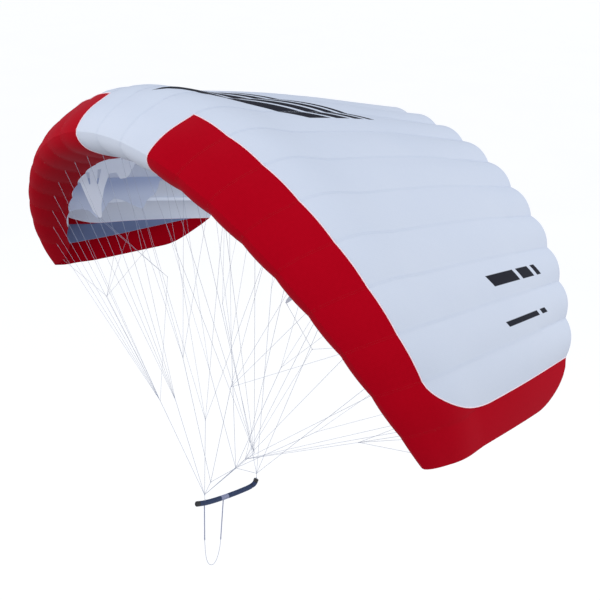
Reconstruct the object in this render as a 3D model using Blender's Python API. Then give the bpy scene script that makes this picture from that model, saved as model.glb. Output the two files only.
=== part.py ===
"""A single-skin parawing in flight over its control bar, in metres, +Z up.

+X is the wing's right half, +Y runs from its nose to its tail, and the origin is the middle of the
bar's centre band, where the rider's hands hold it. Every shape of the wing is worked out from a span
fraction s (0 at the middle, 1 at a tip) and a chord fraction v (0 at the nose, 1 at the tail).
Ribs are counted inwards from the tip, so rib 0 is the tip's own edge and rib 10 is beside the middle.
"""

import math

import bmesh
import bpy
import numpy as np
from mathutils import Matrix, Vector

# Wing plan
HALF_SPAN = 1.568  # along the cloth, middle to tip: 4.5 square metres flat
CELLS = 21
HALF_CHORD = 0.800  # of the middle section
WING_AHEAD = 0.408  # middle of the middle section, from the origin
WING_UP = 1.740
WING_PITCH = math.radians(10.96)  # nose up
ARC_TURN = {1: 1.4408, 3: -0.5991, 5: 0.4042}  # tilt of a section, radians for each power of s
# The nose line moves back by these, metres for each power of s
NOSE_SWEEP = {2: 0.4248, 4: -0.0438, 6: 0.0267, 8: 0.0356}
TAIL_SWEEP = {2: 0.1421, 4: -0.3216, 6: -0.0543}
TWIST_DEG = {0: -6.61, 2: 5.94, 4: -1.83}  # tail up against nose
TIP_THINNING = 0.347  # share of the section's height lost at the tip, with s to the fourth

# Section of the skin, from the free edge under the nose round to the tail: chord and height fractions
UNDER_NOSE = ((0.1205, -0.0400), (0.0620, -0.0250), (0.0200, -0.0050), (0.0000, 0.0244))
OVER_NOSE = ((0.0000, 0.0244), (0.0100, 0.0494), (0.0400, 0.0780), (0.0947, 0.1075))
TOP = ((0.0947, 0.1075), (0.30, 0.0960), (0.60, 0.0665), (0.80, 0.0345), (1.00, 0.0000))

# Cloth
SKIN = 0.0012
RIB_CLOTH = 0.0010
SEAM_GAP = 0.0004
RIB_CLEAR = 0.0018  # from the skin's outer face to a rib's edge
NOSE_BULGE = 0.0025  # how far a cell stands proud of its ribs at mid cell, by the hem
BULGE = 0.0050  # from the nose seam back
TAIL_BULGE = 0.0190
TIP_BULGE = 0.35  # share of it in the tip cell
HEM_SCALLOP = 0.0080  # chord fraction that the hem under the nose draws in between ribs
SEAM_CHORD = 0.0947  # the nose band's seam
CORNER_FROM = 0.81  # span fraction where that seam turns towards the tail
CORNER_DEPTH = 0.275
TIP_ROUND = {1: 0.25, -1: 0.17}  # chord fraction over which each tip's tail corner is rounded off
NOSE_ROUND = {1: 0.18, -1: 0.33}  # and its nose corner, along the cloth from the hem
TIP_REACH = {1: -0.014, -1: 0.050}  # span fraction by which each tip's own edge runs out at the nose
SPAN_END = 1.06

# Mesh of the skin
CELL_STEPS = 3
NOSE_STEPS = 2
TOP_STEPS = 8
CORNER_SHARES = (0.0, 0.34, 0.60, 0.78, 0.90, 0.97, 1.0)

# Lines
MAIN_LINE = 0.0009  # radius
FINE_LINE = 0.0006
KNOT = 0.0022
LINE_SHORT = 0.0022  # a line ends this far short of the cloth that holds it
UNDER_CLOTH = 0.005  # chord fraction by which a tip line ends under the outer face

RED = (0.46, 0.006, 0.020)
WHITE = (0.66, 0.71, 0.78)
RIB_BLUE = (0.36, 0.46, 0.62)
RIB_SLATE = (0.10, 0.15, 0.27)
NAVY = (0.020, 0.035, 0.080)
BLACK = (0.010, 0.011, 0.015)
GREY = (0.42, 0.44, 0.55)
PALE = (0.62, 0.66, 0.74)


def material(name, colour, roughness):
    made = bpy.data.materials.new(name)
    made.use_nodes = True
    shader = made.node_tree.nodes["Principled BSDF"]
    shader.inputs["Base Color"].default_value = (*colour, 1.0)
    shader.inputs["Roughness"].default_value = roughness
    shader.inputs["Metallic"].default_value = 0.0
    return made


def powers(law, s):
    return sum(factor * s**power for power, factor in law.items())


def arc_table(steps=400):
    """Sideways and downward reach of the arc at each span fraction, by adding up short level steps."""
    s = np.linspace(0.0, SPAN_END, steps + 1)
    tilt = powers(ARC_TURN, s)
    across = np.cos(tilt)
    down = np.sin(tilt)
    width = np.diff(s) * HALF_SPAN
    x = np.concatenate([[0.0], np.cumsum((across[1:] + across[:-1]) / 2 * width)])
    z = np.concatenate([[0.0], np.cumsum((down[1:] + down[:-1]) / 2 * width)])
    return s, x, -z


ARC_S, ARC_X, ARC_Z = arc_table()


def rib_span(rib):
    return 1.0 - rib / (CELLS / 2)


def section(s):
    """Origin, chord direction, height direction and chord length of the section at span fraction s."""
    side = -1.0 if s < 0 else 1.0
    s = abs(s)
    x = float(np.interp(s, ARC_S, ARC_X))
    z = float(np.interp(s, ARC_S, ARC_Z))
    tilt = powers(ARC_TURN, s)
    nose = -HALF_CHORD + powers(NOSE_SWEEP, s)
    tail = HALF_CHORD + powers(TAIL_SWEEP, s)
    rise = math.sin(math.radians(powers(TWIST_DEG, s)))
    up = Vector((side * math.sin(tilt), 0.0, math.cos(tilt)))
    along = Vector((0.0, 1.0, 0.0)) - rise * up
    start = Vector((side * x, nose, z)) + up * (0.5 * rise * (tail - nose))
    turn = Matrix.Rotation(-WING_PITCH, 3, "X")
    place = Vector((0.0, WING_AHEAD, WING_UP))
    return turn @ start + place, turn @ along, turn @ up, tail - nose


def thinned(s, height):
    return height * (1.0 - TIP_THINNING * s**4) if height > 0 else height


def wing_point(s, v, height):
    start, along, up, chord = section(s)
    return start + along * (v * chord) + up * (thinned(s, height) * chord)


def smooth(rows, at):
    """Height at chord fraction `at` on a smooth curve through rows of (chord, height)."""
    v = np.array([row[0] for row in rows])
    h = np.array([row[1] for row in rows])
    slope = np.gradient(h, v)
    i = int(np.clip(np.searchsorted(v, at) - 1, 0, len(v) - 2))
    width = v[i + 1] - v[i]
    t = (at - v[i]) / width
    return float(
        h[i] * (1 + 2 * t) * (1 - t) ** 2
        + h[i + 1] * t * t * (3 - 2 * t)
        + width * (slope[i] * t * (1 - t) ** 2 + slope[i + 1] * t * t * (t - 1))
    )


def rounded(rows, steps):
    """Points on a smooth curve through rows of (chord, height), `steps` to each stretch."""
    points = [Vector(row) for row in rows]
    before = points[0] * 2 - points[1]
    after = points[-1] * 2 - points[-2]
    line = [before, *points, after]
    made = []
    for a, b, c, d in zip(line, line[1:], line[2:], line[3:]):
        for k in range(steps):
            t = k / steps
            pull = (c - a) / 2
            push = (d - b) / 2
            made.append(
                b * (1 + 2 * t) * (1 - t) ** 2
                + c * t * t * (3 - 2 * t)
                + pull * t * (1 - t) ** 2
                + push * t * t * (t - 1)
            )
    made.append(points[-1])
    return [(p.x, p.y) for p in made]


NOSE_ROWS = rounded(UNDER_NOSE + OVER_NOSE[1:], NOSE_STEPS)
NOSE_REACH = [0.0, *np.cumsum([math.dist(*pair) for pair in zip(NOSE_ROWS, NOSE_ROWS[1:])])]
HEM_ROWS = 2 * NOSE_STEPS  # the first rows, which the scalloped hem draws in


def top_height(v):
    return smooth(OVER_NOSE[2:] + TOP[1:], v)


def seam_chord(s):
    """Chord fraction of the seam between the nose band and the top skin."""
    share = np.clip((abs(s) - CORNER_FROM) / (rib_span(1) - CORNER_FROM), 0.0, 1.0)
    return SEAM_CHORD + CORNER_DEPTH * (1.0 - math.sqrt(1.0 - share * share))


def cell_share(s):
    """0 at a rib and 1 at mid cell."""
    t = (1.0 - min(1.0, abs(s))) * CELLS / 2 % 1.0
    if min(t, 1.0 - t) < 1e-3:
        return 0.0
    return 4.0 * t * (1.0 - t)


def rows_between(first, last, steps):
    """Rows of (chord, height, reach) on the top, from chord fraction `first` to `last`."""
    return [(v, top_height(v), 1.0) for v in np.linspace(first, last, steps + 1)]


def nose_rows(s):
    """Rows of (chord, height, reach from the hem) round the nose to its seam. Between ribs the hem is drawn in."""
    draw = HEM_SCALLOP * cell_share(s)
    rows = []
    for k, ((v, h), reach) in enumerate(zip(NOSE_ROWS, NOSE_REACH)):
        rows.append((v - draw * max(0.0, 1.0 - k / HEM_ROWS), h, reach))
    return rows


def bulge(s, v, reach):
    """How far the cloth stands proud at span fraction s, chord fraction v and this reach from the hem."""
    share = min(1.0, reach / NOSE_REACH[-1])
    proud = NOSE_BULGE + (BULGE - NOSE_BULGE) * share**2 + (TAIL_BULGE - BULGE) * max(0.0, v) ** 4
    return proud * cell_share(s) * (TIP_BULGE if abs(s) > rib_span(1) else 1.0)


def outer_point(s, rows, k):
    """Point k of the rows on the skin's outer face at span fraction s, standing proud between ribs."""
    start, along, up, chord = section(s)
    flat = [Vector((v * chord, thinned(s, h) * chord)) for v, h, _ in rows[max(k - 1, 0) : k + 2]]
    run = (flat[-1] - flat[0]).normalized()
    here = flat[0 if k == 0 else 1]
    here = here + Vector((-run.y, run.x)) * bulge(s, rows[k][0], rows[k][2])
    return start + along * here.x + up * here.y


def cell_spans(first_rib, last_rib):
    """Span fractions from one rib out to another, CELL_STEPS to a cell."""
    count = (first_rib - last_rib) * CELL_STEPS
    return list(np.linspace(rib_span(first_rib), rib_span(last_rib), count + 1))


class Sheet:
    """Patches of one piece of cloth, each a grid of columns along the span and rows along the chord."""

    def __init__(self, side):
        self.side = side
        self.mesh = bmesh.new()

    def patch(self, spans, rows_at, edge_at=None):
        columns = []
        for s in spans:
            rows = rows_at(s)
            column = []
            for k, (v, _, reach) in enumerate(rows):
                there = s if edge_at is None else edge_at(s, v, reach)
                column.append(self.mesh.verts.new(outer_point(self.side * there, rows, k)))
            columns.append(column)
        if self.side < 0:
            columns.reverse()
        for left, right in zip(columns, columns[1:]):
            for k in range(len(left) - 1):
                self.mesh.faces.new((left[k], right[k], right[k + 1], left[k + 1]))

    def finish(self, name, look):
        bmesh.ops.remove_doubles(self.mesh, verts=self.mesh.verts, dist=0.00005)
        bmesh.ops.dissolve_degenerate(self.mesh, edges=self.mesh.edges, dist=0.00001)
        return cloth(name, self.mesh, SKIN, -1.0, look)


def cloth(name, mesh, thickness, offset, look):
    """A sheet thickened into one closed body."""
    data = bpy.data.meshes.new(name)
    mesh.to_mesh(data)
    mesh.free()
    data.materials.append(look)
    piece = bpy.data.objects.new(name, data)
    bpy.context.scene.collection.objects.link(piece)
    solid = piece.modifiers.new("Thickness", "SOLIDIFY")
    solid.thickness = thickness
    solid.offset = offset
    solid.use_even_offset = True
    return piece


SPAN_GAP = SEAM_GAP / HALF_SPAN
CHORD_GAP = SEAM_GAP / (2 * HALF_CHORD * 0.6)
CORNER_END = SEAM_CHORD + CORNER_DEPTH
CORNER_ROWS = 3
CORNER_SPANS = [rib_span(2) + share * (rib_span(1) - rib_span(2)) for share in CORNER_SHARES]


def white_skin(look):
    def whole(s):
        return nose_rows(s)[:-1] + rows_between(SEAM_CHORD + CHORD_GAP, 1.0, TOP_STEPS)

    def behind_seam(s):
        return rows_between(seam_chord(s) + CHORD_GAP, 1.0, TOP_STEPS)

    def beside_tip(s, v, reach):
        share = (s - rib_span(2)) / (rib_span(1) - rib_span(2))
        return s - SPAN_GAP * share

    sheet = Sheet(1)
    sheet.patch(np.linspace(-rib_span(9), rib_span(9), 3 * CELL_STEPS + 1), whole)
    for side in (1, -1):
        sheet.side = side
        sheet.patch(cell_spans(9, 2), behind_seam)
        sheet.patch(CORNER_SPANS, behind_seam, beside_tip)
    return sheet.finish("skin_white", look)


def tip_edge(side, s, v, reach):
    """The tip cell's span fraction: its own edge runs out or in, and its nose and tail corners are rounded."""
    rear = (v - (1.0 - TIP_ROUND[side])) / TIP_ROUND[side]
    beyond = max(0.0, rear, (NOSE_ROUND[side] - reach) / NOSE_ROUND[side])
    width = math.sqrt(max(0.0, 1.0 - beyond * beyond))
    share = (s - rib_span(1)) / (1.0 - rib_span(1))
    return rib_span(1) + share * width * (1.0 - rib_span(1) + TIP_REACH[side] * (1.0 - v * v))


def red_skin(name, side, look):
    def nose_and_corner(s):
        return nose_rows(s)[:-1] + rows_between(SEAM_CHORD, seam_chord(s), CORNER_ROWS)

    def whole(s):
        corner = rows_between(SEAM_CHORD, CORNER_END, CORNER_ROWS)[:-1]
        return nose_rows(s)[:-1] + corner + rows_between(CORNER_END, 1.0, TOP_STEPS)

    def edge(s, v, reach):
        return tip_edge(side, s, v, reach)

    sheet = Sheet(side)
    inner = cell_spans(9, 2)
    inner[0] += SPAN_GAP
    sheet.patch(inner, nose_rows)
    sheet.patch(CORNER_SPANS, nose_and_corner)
    sheet.patch(cell_spans(1, 0), whole, edge)
    return sheet.finish(name, look)


# Free edges of the ribs, (chord, height) from the tail end forward to the hem. A rib not named here is a
# seam tape that hangs TAPE_DEPTH from the skin and fills the nose.
TAPE_DEPTH = 0.025
TAPE_TO = 0.93
NOSE_WEB = ((0.150, 0.030), (0.130, -0.020), (0.1235, -0.0330))
HIDDEN_EDGE = (
    (0.60, 0.008), (0.50, 0.030), (0.44, 0.000), (0.42, -0.012), (0.40, 0.000), (0.33, 0.025),
    (0.25, 0.005), (0.22, -0.020), (0.19, -0.010), (0.150, -0.014), (0.1235, -0.0330),
)
RIB_EDGES = {
    1: (0.88, (
        (0.80, 0.014), (0.588, -0.004), (0.395, -0.020), (0.277, -0.026), (0.150, -0.031), (0.1240, -0.0300),
    )),
    3: (0.56, (
        (0.530, 0.010), (0.500, -0.017), (0.477, -0.024), (0.457, -0.035), (0.420, -0.069), (0.410, -0.069),
        (0.388, -0.053), (0.350, -0.020), (0.321, -0.008), (0.287, -0.024), (0.244, -0.062), (0.223, -0.079),
        (0.213, -0.079), (0.203, -0.060), (0.194, -0.045), (0.174, -0.036), (0.147, -0.034), (0.1240, -0.0380),
    )),
    5: (0.37, (
        (0.343, 0.005), (0.303, -0.034), (0.290, -0.041), (0.268, -0.041), (0.262, -0.018), (0.236, -0.019),
        (0.202, -0.064), (0.174, -0.113), (0.162, -0.150), (0.1565, -0.1535), (0.151, -0.150), (0.140, -0.130),
        (0.134, -0.081), (0.130, -0.036), (0.1240, -0.0330),
    )),
    7: (0.66, HIDDEN_EDGE),
    9: (0.66, HIDDEN_EDGE),
}
TAPED = (3, 5, 7, 9)  # ribs that run on as a seam tape behind their free edge
FLARE_SLOTS = (
    ((0.159, -0.006), (0.171, -0.006), (0.161, -0.045), (0.157, -0.045)),
    ((0.202, -0.001), (0.215, -0.001), (0.187, -0.047), (0.183, -0.047)),
)


def rib_rows(rib):
    """The skin's own rows at a rib, so that the rib's edge runs along the skin's facets."""
    corner = rows_between(SEAM_CHORD, CORNER_END, CORNER_ROWS)[:-1] if rib == 1 else []
    top = rows_between(CORNER_END if rib == 1 else SEAM_CHORD, 1.0, TOP_STEPS)
    return NOSE_ROWS[:-1] + [row[:2] for row in corner + top]


def inset(points, depth):
    """A line of points moved to its right-hand side, which is inside the section."""
    moved = []
    for k, p in enumerate(points):
        before = (p - points[max(k - 1, 0)]).normalized() if k else None
        after = (points[min(k + 1, len(points) - 1)] - p).normalized() if k < len(points) - 1 else None
        first = before or after
        second = after or before
        normal = Vector((first.y + second.y, -first.x - second.x)).normalized()
        lean = max(0.5, normal.dot(Vector((first.y, -first.x))))
        moved.append(p + normal * (depth / lean))
    return moved


def cut_at(points, a):
    """The points up to the place where they reach chordwise distance a, over the top."""
    kept = []
    for p, q in zip(points, points[1:]):
        kept.append(p)
        if p.x < a <= q.x and q.y > 0:
            kept.append(p.lerp(q, (a - p.x) / (q.x - p.x)))
            return kept
    return points


def rib_outline(rib):
    s = rib_span(rib)
    chord = section(s)[3]

    def flat(rows):
        return [Vector((v * chord, thinned(s, h) * chord)) for v, h in rows]

    edge = inset(flat(rib_rows(rib)), RIB_CLEAR)
    if rib in RIB_EDGES and rib not in TAPED:
        end, free = RIB_EDGES[rib]
        return cut_at(edge, end * chord) + flat(free)
    end, free = RIB_EDGES.get(rib, (0.20, NOSE_WEB))
    whole = cut_at(edge, TAPE_TO * chord)
    tape = [p for p in inset(whole, TAPE_DEPTH) if end * chord < p.x < TAPE_TO * chord and p.y > 0]
    tape.reverse()
    return whole + [whole[-1] + Vector((0.0, -0.008))] + tape + flat(free)


def rib_piece(rib, side, look):
    s = rib_span(rib) * side
    start, along, up, chord = section(s)
    mesh = bmesh.new()
    corners = [mesh.verts.new(start + along * p.x + up * p.y) for p in rib_outline(rib)]
    mesh.faces.new(corners)
    name = f"rib_{rib:02d}_{'right' if side > 0 else 'left'}"
    piece = cloth(name, mesh, RIB_CLOTH, 0.0, look)
    if rib == 5:
        for k, slot in enumerate(FLARE_SLOTS):
            cut_slot(piece, f"{name}_slot_{k}", s, slot)
    return piece


def cut_slot(piece, name, s, corners):
    """Cuts a prism that stands on the slot's corners through the cloth."""
    across = Vector((0.02, 0.0, 0.0))
    ring = [wing_point(s, v, h) for v, h in corners]
    mesh = bmesh.new()
    near = [mesh.verts.new(p + across) for p in ring]
    far = [mesh.verts.new(p - across) for p in ring]
    mesh.faces.new(near)
    mesh.faces.new(far[::-1])
    for k in range(len(ring)):
        n = (k + 1) % len(ring)
        mesh.faces.new((near[n], near[k], far[k], far[n]))
    bmesh.ops.recalc_face_normals(mesh, faces=mesh.faces)
    data = bpy.data.meshes.new(name)
    mesh.to_mesh(data)
    mesh.free()
    cutter = bpy.data.objects.new(name, data)
    bpy.context.scene.collection.objects.link(cutter)
    cutter.hide_render = True
    cutter.display_type = "WIRE"
    cut = piece.modifiers.new("Slot", "BOOLEAN")
    cut.operation = "DIFFERENCE"
    cut.object = cutter


# Bar and loop, in the plane x = 0: distances along +Y and up from the middle of the centre band
BAR_RADIUS = 0.0125
CAP_RADIUS = 0.0128
BAR_GAP = 0.0004
BAR_PATH = (
    (-0.165, 0.069), (-0.118, 0.044), (-0.070, 0.024), (0.000, 0.000), (0.070, -0.021), (0.123, -0.035),
    (0.170, -0.045), (0.200, -0.043), (0.216, -0.022),
)
BAR_STEPS = 4
CAP_LENGTH = 0.0165
BAND_HALF = 0.024
MARK_FROM_END = 0.052
MARK_LENGTH = 0.008
LEG_RADIUS = 0.0026
LOOP_RADIUS = 0.0012
LEG_FRONT = ((-0.120, 0.0295), (-0.136, -0.185))
LEG_REAR = ((-0.005, -0.0130), (-0.0385, -0.255))
LOOP_BOTTOM = (
    (-0.1375, -0.270), (-0.1330, -0.325), (-0.1210, -0.364), (-0.1000, -0.3835), (-0.0790, -0.3755),
    (-0.0620, -0.345), (-0.0480, -0.305),
)


def tube(name, points, radius, look, sides=2):
    """A round cord or rod along the points, as a curve with filled ends."""
    data = bpy.data.curves.new(name, "CURVE")
    data.dimensions = "3D"
    data.bevel_depth = radius
    data.bevel_resolution = sides
    data.use_fill_caps = True
    spline = data.splines.new("POLY")
    spline.points.add(len(points) - 1)
    for point, place in zip(spline.points, points):
        point.co = (*place, 1.0)
    data.materials.append(look)
    piece = bpy.data.objects.new(name, data)
    bpy.context.scene.collection.objects.link(piece)
    return piece


def in_plane(points):
    return [Vector((0.0, y, z)) for y, z in points]


def stretch(path, first, last):
    """The part of a line of points between two distances along it."""
    reach = [0.0]
    for a, b in zip(path, path[1:]):
        reach.append(reach[-1] + (b - a).length)

    def at(distance):
        i = int(np.clip(np.searchsorted(reach, distance) - 1, 0, len(path) - 2))
        return path[i].lerp(path[i + 1], (distance - reach[i]) / (reach[i + 1] - reach[i]))

    between = [p for p, d in zip(path, reach) if first + 0.001 < d < last - 0.001]
    return [at(first), *between, at(last)]


def bar(grip, band, cap, mark):
    path = in_plane(rounded(BAR_PATH, BAR_STEPS))
    lengths = [(b - a).length for a, b in zip(path, path[1:])]
    total = sum(lengths)
    middle = sum(lengths[: 3 * BAR_STEPS])
    marked = total - MARK_FROM_END
    pieces = (
        ("bar_front_cap", 0.0, CAP_LENGTH, CAP_RADIUS, cap),
        ("bar_front_grip", CAP_LENGTH, middle - BAND_HALF, BAR_RADIUS, grip),
        ("bar_centre_band", middle - BAND_HALF, middle + BAND_HALF, BAR_RADIUS, band),
        ("bar_rear_grip", middle + BAND_HALF, marked, BAR_RADIUS, grip),
        ("bar_mark", marked, marked + MARK_LENGTH, BAR_RADIUS, mark),
        ("bar_end_grip", marked + MARK_LENGTH, total - CAP_LENGTH, BAR_RADIUS, grip),
        ("bar_rear_cap", total - CAP_LENGTH, total, CAP_RADIUS, cap),
    )
    for name, first, last, radius, look in pieces:
        tube(name, stretch(path, first + BAR_GAP / 2, last - BAR_GAP / 2), radius, look, 4)


def loop(webbing, cord):
    tube("loop_leg_front", in_plane(LEG_FRONT), LEG_RADIUS, webbing)
    tube("loop_leg_rear", in_plane(LEG_REAR), LEG_RADIUS, webbing)
    ends = (LEG_FRONT[1], *LOOP_BOTTOM, LEG_REAR[1])
    path = in_plane(rounded(ends, 3))
    total = sum((b - a).length for a, b in zip(path, path[1:]))
    tube("loop_line", stretch(path, BAR_GAP, total - BAR_GAP), LOOP_RADIUS, cord)


# Where the lines end at the wing: row letter and rib, with (chord, height) on the rib's free edge.
# Row N runs along the cloth under the nose. A row on a taped stretch gives the chord alone.
NOSE_HOLD = (0.062, -0.0250)
HOLDS = {
    ("A", 1): (0.220, -0.0282), ("A", 3): (0.218, -0.0790), ("A", 5): (0.1565, -0.1535),
    ("A", 7): (0.220, -0.0200), ("A", 9): (0.220, -0.0200),
    ("B", 1): (0.460, -0.0146), ("B", 3): (0.415, -0.0690), ("B", 5): (0.279, -0.0410),
    ("B", 7): (0.420, -0.0120), ("B", 9): (0.420, -0.0120),
    ("C", 1): (0.700, 0.0055), ("C", 7): (0.600, 0.0080), ("C", 9): (0.600, 0.0080),
}
TAPE_HOLDS = {"C": 5, "D": 7}  # the skin row that each is level with
TIP_HOLDS = {"T": 0.45, "U": 0.70}

# Knots of the right half and of the middle
FEET = {
    "front": (0.000, -0.114, 0.093),
    "upper": (0.000, -0.073, 0.144),
    "rear": (0.000, 0.084, 0.132),
    "end": (0.000, 0.218, 0.013),
}
KNOTS = {
    "outer": (0.301, -0.108, 0.483),
    "inner": (0.279, -0.037, 0.461),
    "middle": (0.000, -0.076, 0.511),
    "belly": (0.164, -0.052, 0.757),
    "tip": (0.830, -0.016, 0.817),
    "flare": (0.472, 0.117, 1.000),
    "back": (0.170, 0.238, 0.721),
    "side": (0.377, 0.251, 0.465),
    "tail": (0.180, 0.520, 0.900),
    "corner": (0.520, 0.480, 0.700),
}
# Each foot's mains, by the knot that each one ends at
MAINS = {
    "front": ("outer", "inner", "middle"),
    "upper": ("belly",),
    "rear": ("side", "back"),
    "end": ("tail", "corner"),
}
# Each knot's fan: a row letter and ribs, or a further knot
FANS = {
    "outer": ("N1", "N2", "N3", "N4", "N5", "A1", "tip", "flare"),
    "inner": ("N6", "N7", "N8", "N9", "N10"),
    "middle": ("A7", "A9"),
    "belly": ("B3", "B5", "B7", "B9"),
    "tip": ("N0", "T0", "U0", "B1"),
    "flare": ("A5", "A3"),
    "back": ("C5", "C7", "C9"),
    "side": ("C1", "C3"),
    "tail": ("D7", "D9"),
    "corner": ("D3", "D5"),
}
FOOT_LINKS = {"upper": ("front",), "rear": ("front", "upper", "end")}
BAR_TIES = {"front": (-0.115, 0.0575), "end": (0.217, -0.0075)}


def hold(letter, rib, side):
    """Where a line meets the wing."""
    s = side * rib_span(rib)
    if (letter, rib) == ("N", 0):
        s = side * tip_edge(side, 1.0, NOSE_HOLD[0], NOSE_REACH[NOSE_STEPS])
    if letter == "N":
        return wing_point(s, *NOSE_HOLD)
    if letter in TIP_HOLDS:
        v = TIP_HOLDS[letter]
        return wing_point(side * tip_edge(side, 1.0, v, 1.0), v, top_height(v) - UNDER_CLOTH)
    if (letter, rib) in HOLDS:
        return wing_point(s, *HOLDS[letter, rib])
    start, along, up, chord = section(s)
    v = SEAM_CHORD + (1.0 - SEAM_CHORD) * TAPE_HOLDS[letter] / TOP_STEPS
    depth = thinned(s, top_height(v)) * chord - RIB_CLEAR - TAPE_DEPTH
    return start + along * (v * chord) + up * depth


def knot(name, side):
    x, y, z = FEET.get(name) or KNOTS[name]
    return Vector((side * x, y, z))


def short_of(place, towards, gap):
    return place + (towards - place).normalized() * gap


def knotted(name, centre, ends, radius, look):
    """One closed body: a knot, and a straight line from it to each end."""
    ball = bmesh.new()
    bmesh.ops.create_icosphere(ball, subdivisions=1, radius=KNOT, matrix=Matrix.Translation(centre))
    data = bpy.data.meshes.new(name)
    ball.to_mesh(data)
    ball.free()
    data.materials.append(look)
    piece = bpy.data.objects.new(name, data)
    bpy.context.scene.collection.objects.link(piece)

    lines = bmesh.new()
    for end in ends:
        run = end - centre
        turn = run.to_track_quat("Z", "Y").to_matrix().to_4x4()
        place = Matrix.Translation(centre + run / 2) @ turn
        bmesh.ops.create_cone(
            lines, cap_ends=True, segments=6, radius1=radius, radius2=radius, depth=run.length, matrix=place
        )
    data = bpy.data.meshes.new(name + "_runs")
    lines.to_mesh(data)
    lines.free()
    runs = bpy.data.objects.new(name + "_runs", data)
    bpy.context.scene.collection.objects.link(runs)
    runs.hide_render = True
    runs.display_type = "WIRE"
    join = piece.modifiers.new("Join", "BOOLEAN")
    join.operation = "UNION"
    join.object = runs
    join.use_self = True
    return piece


def bridle(look):
    for foot, mains in MAINS.items():
        centre = knot(foot, 1)
        ends = []
        for main in mains:
            sides = (1,) if KNOTS[main][0] == 0 else (1, -1)
            ends += [short_of(knot(main, side), centre, KNOT + BAR_GAP) for side in sides]
        for other in FOOT_LINKS.get(foot, ()):
            ends.append(short_of(knot(other, 1), centre, KNOT + BAR_GAP))
        if foot in BAR_TIES:
            ends += in_plane([BAR_TIES[foot]])
        knotted(f"lines_from_{foot}", centre, ends, MAIN_LINE, look)
    for name, places in FANS.items():
        if KNOTS[name][0] == 0:
            ends = fan_ends(name, places, 1) + fan_ends(name, places, -1)
            knotted(f"lines_{name}", knot(name, 1), ends, FINE_LINE, look)
            continue
        for side, label in ((1, "right"), (-1, "left")):
            knotted(f"lines_{name}_{label}", knot(name, side), fan_ends(name, places, side), FINE_LINE, look)


def fan_ends(name, places, side):
    centre = knot(name, side)
    ends = []
    for place in places:
        if place in KNOTS:
            ends.append(short_of(knot(place, side), centre, KNOT + BAR_GAP))
        else:
            ends.append(short_of(hold(place[0], int(place[1:]), side), centre, LINE_SHORT))
    return ends


def main():
    for old in list(bpy.data.objects):
        bpy.data.objects.remove(old, do_unlink=True)
    white = material("white cloth", WHITE, 0.55)
    red = material("red cloth", RED, 0.50)
    blue = material("rib cloth", RIB_BLUE, 0.60)
    slate = material("tip rib cloth", RIB_SLATE, 0.60)
    navy = material("grip foam", NAVY, 0.60)
    black = material("end cap", BLACK, 0.40)
    grey = material("centre band", GREY, 0.50)
    pale = material("line", PALE, 0.60)
    white_skin(white)
    red_skin("skin_red_right", 1, red)
    red_skin("skin_red_left", -1, red)
    looks = {1: slate, 3: blue}
    for rib in range(1, 11):
        for side in (1, -1):
            rib_piece(rib, side, looks.get(rib, white))
    bar(navy, grey, black, pale)
    loop(pale, pale)
    bridle(pale)


main()
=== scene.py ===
"""Looks of a single-skin parawing in flight over its control bar, in metres, +Z up.

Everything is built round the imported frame. +X is the wing's right half, +Y runs from its nose to its
tail, and the origin is the middle of the bar's centre band. A place on the wing is a span fraction s
(0 at the middle, 1 at the right tip, -1 at the left one) and a chord fraction v (0 at the nose, 1 at
the tail). Ribs are counted inwards from the tip, where rib 0 is the tip's own edge.
"""

import math

import bmesh
import bpy
import numpy as np
from mathutils import Matrix, Vector


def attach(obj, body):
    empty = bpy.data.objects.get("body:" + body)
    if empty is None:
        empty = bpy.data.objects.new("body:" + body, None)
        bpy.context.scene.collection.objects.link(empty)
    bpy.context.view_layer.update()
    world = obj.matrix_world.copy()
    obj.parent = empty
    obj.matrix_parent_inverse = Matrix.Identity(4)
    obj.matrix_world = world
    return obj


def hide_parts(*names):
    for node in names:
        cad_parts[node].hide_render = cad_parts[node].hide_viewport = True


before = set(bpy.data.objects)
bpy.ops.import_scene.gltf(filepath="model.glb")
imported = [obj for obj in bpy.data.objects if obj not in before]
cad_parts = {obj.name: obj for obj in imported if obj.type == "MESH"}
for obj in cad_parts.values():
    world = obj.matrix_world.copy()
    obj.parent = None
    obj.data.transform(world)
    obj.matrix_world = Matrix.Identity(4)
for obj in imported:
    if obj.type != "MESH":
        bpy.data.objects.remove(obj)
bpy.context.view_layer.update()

TURN = 2 * math.pi
SIDES = (("right", 1), ("left", -1))

# Wing plan, as the frame has it
HALF_SPAN = 1.568
CELLS = 21
CELL = HALF_SPAN * 2 / CELLS
HALF_CHORD = 0.800
WING_PLACE = np.array([0.0, 0.408, 1.740])
WING_PITCH = math.radians(10.96)
ARC_TURN = {1: 1.4408, 3: -0.5991, 5: 0.4042}
NOSE_SWEEP = {2: 0.4248, 4: -0.0438, 6: 0.0267, 8: 0.0356}
TAIL_SWEEP = {2: 0.1421, 4: -0.3216, 6: -0.0543}
TWIST_DEG = {0: -6.61, 2: 5.94, 4: -1.83}
TIP_THINNING = 0.347
UNDER_NOSE = ((0.1205, -0.0400), (0.0620, -0.0250), (0.0200, -0.0050), (0.0000, 0.0244))
OVER_NOSE = ((0.0000, 0.0244), (0.0100, 0.0494), (0.0400, 0.0780), (0.0947, 0.1075))
TOP = ((0.0947, 0.1075), (0.30, 0.0960), (0.60, 0.0665), (0.80, 0.0345), (1.00, 0.0000))
SEAM_CHORD = 0.0947
CORNER_FROM = 0.81
CORNER_DEPTH = 0.275
TIP_ROUND = {1: 0.25, -1: 0.17}
NOSE_ROUND = {1: 0.18, -1: 0.33}
TIP_REACH = {1: -0.014, -1: 0.050}
SPAN_END = 1.06
ARC_STEPS = 400
NOSE_CURVE_STEPS = 24  # to each stretch of the nose's outline
TOP_CURVE_STEPS = 260
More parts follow.
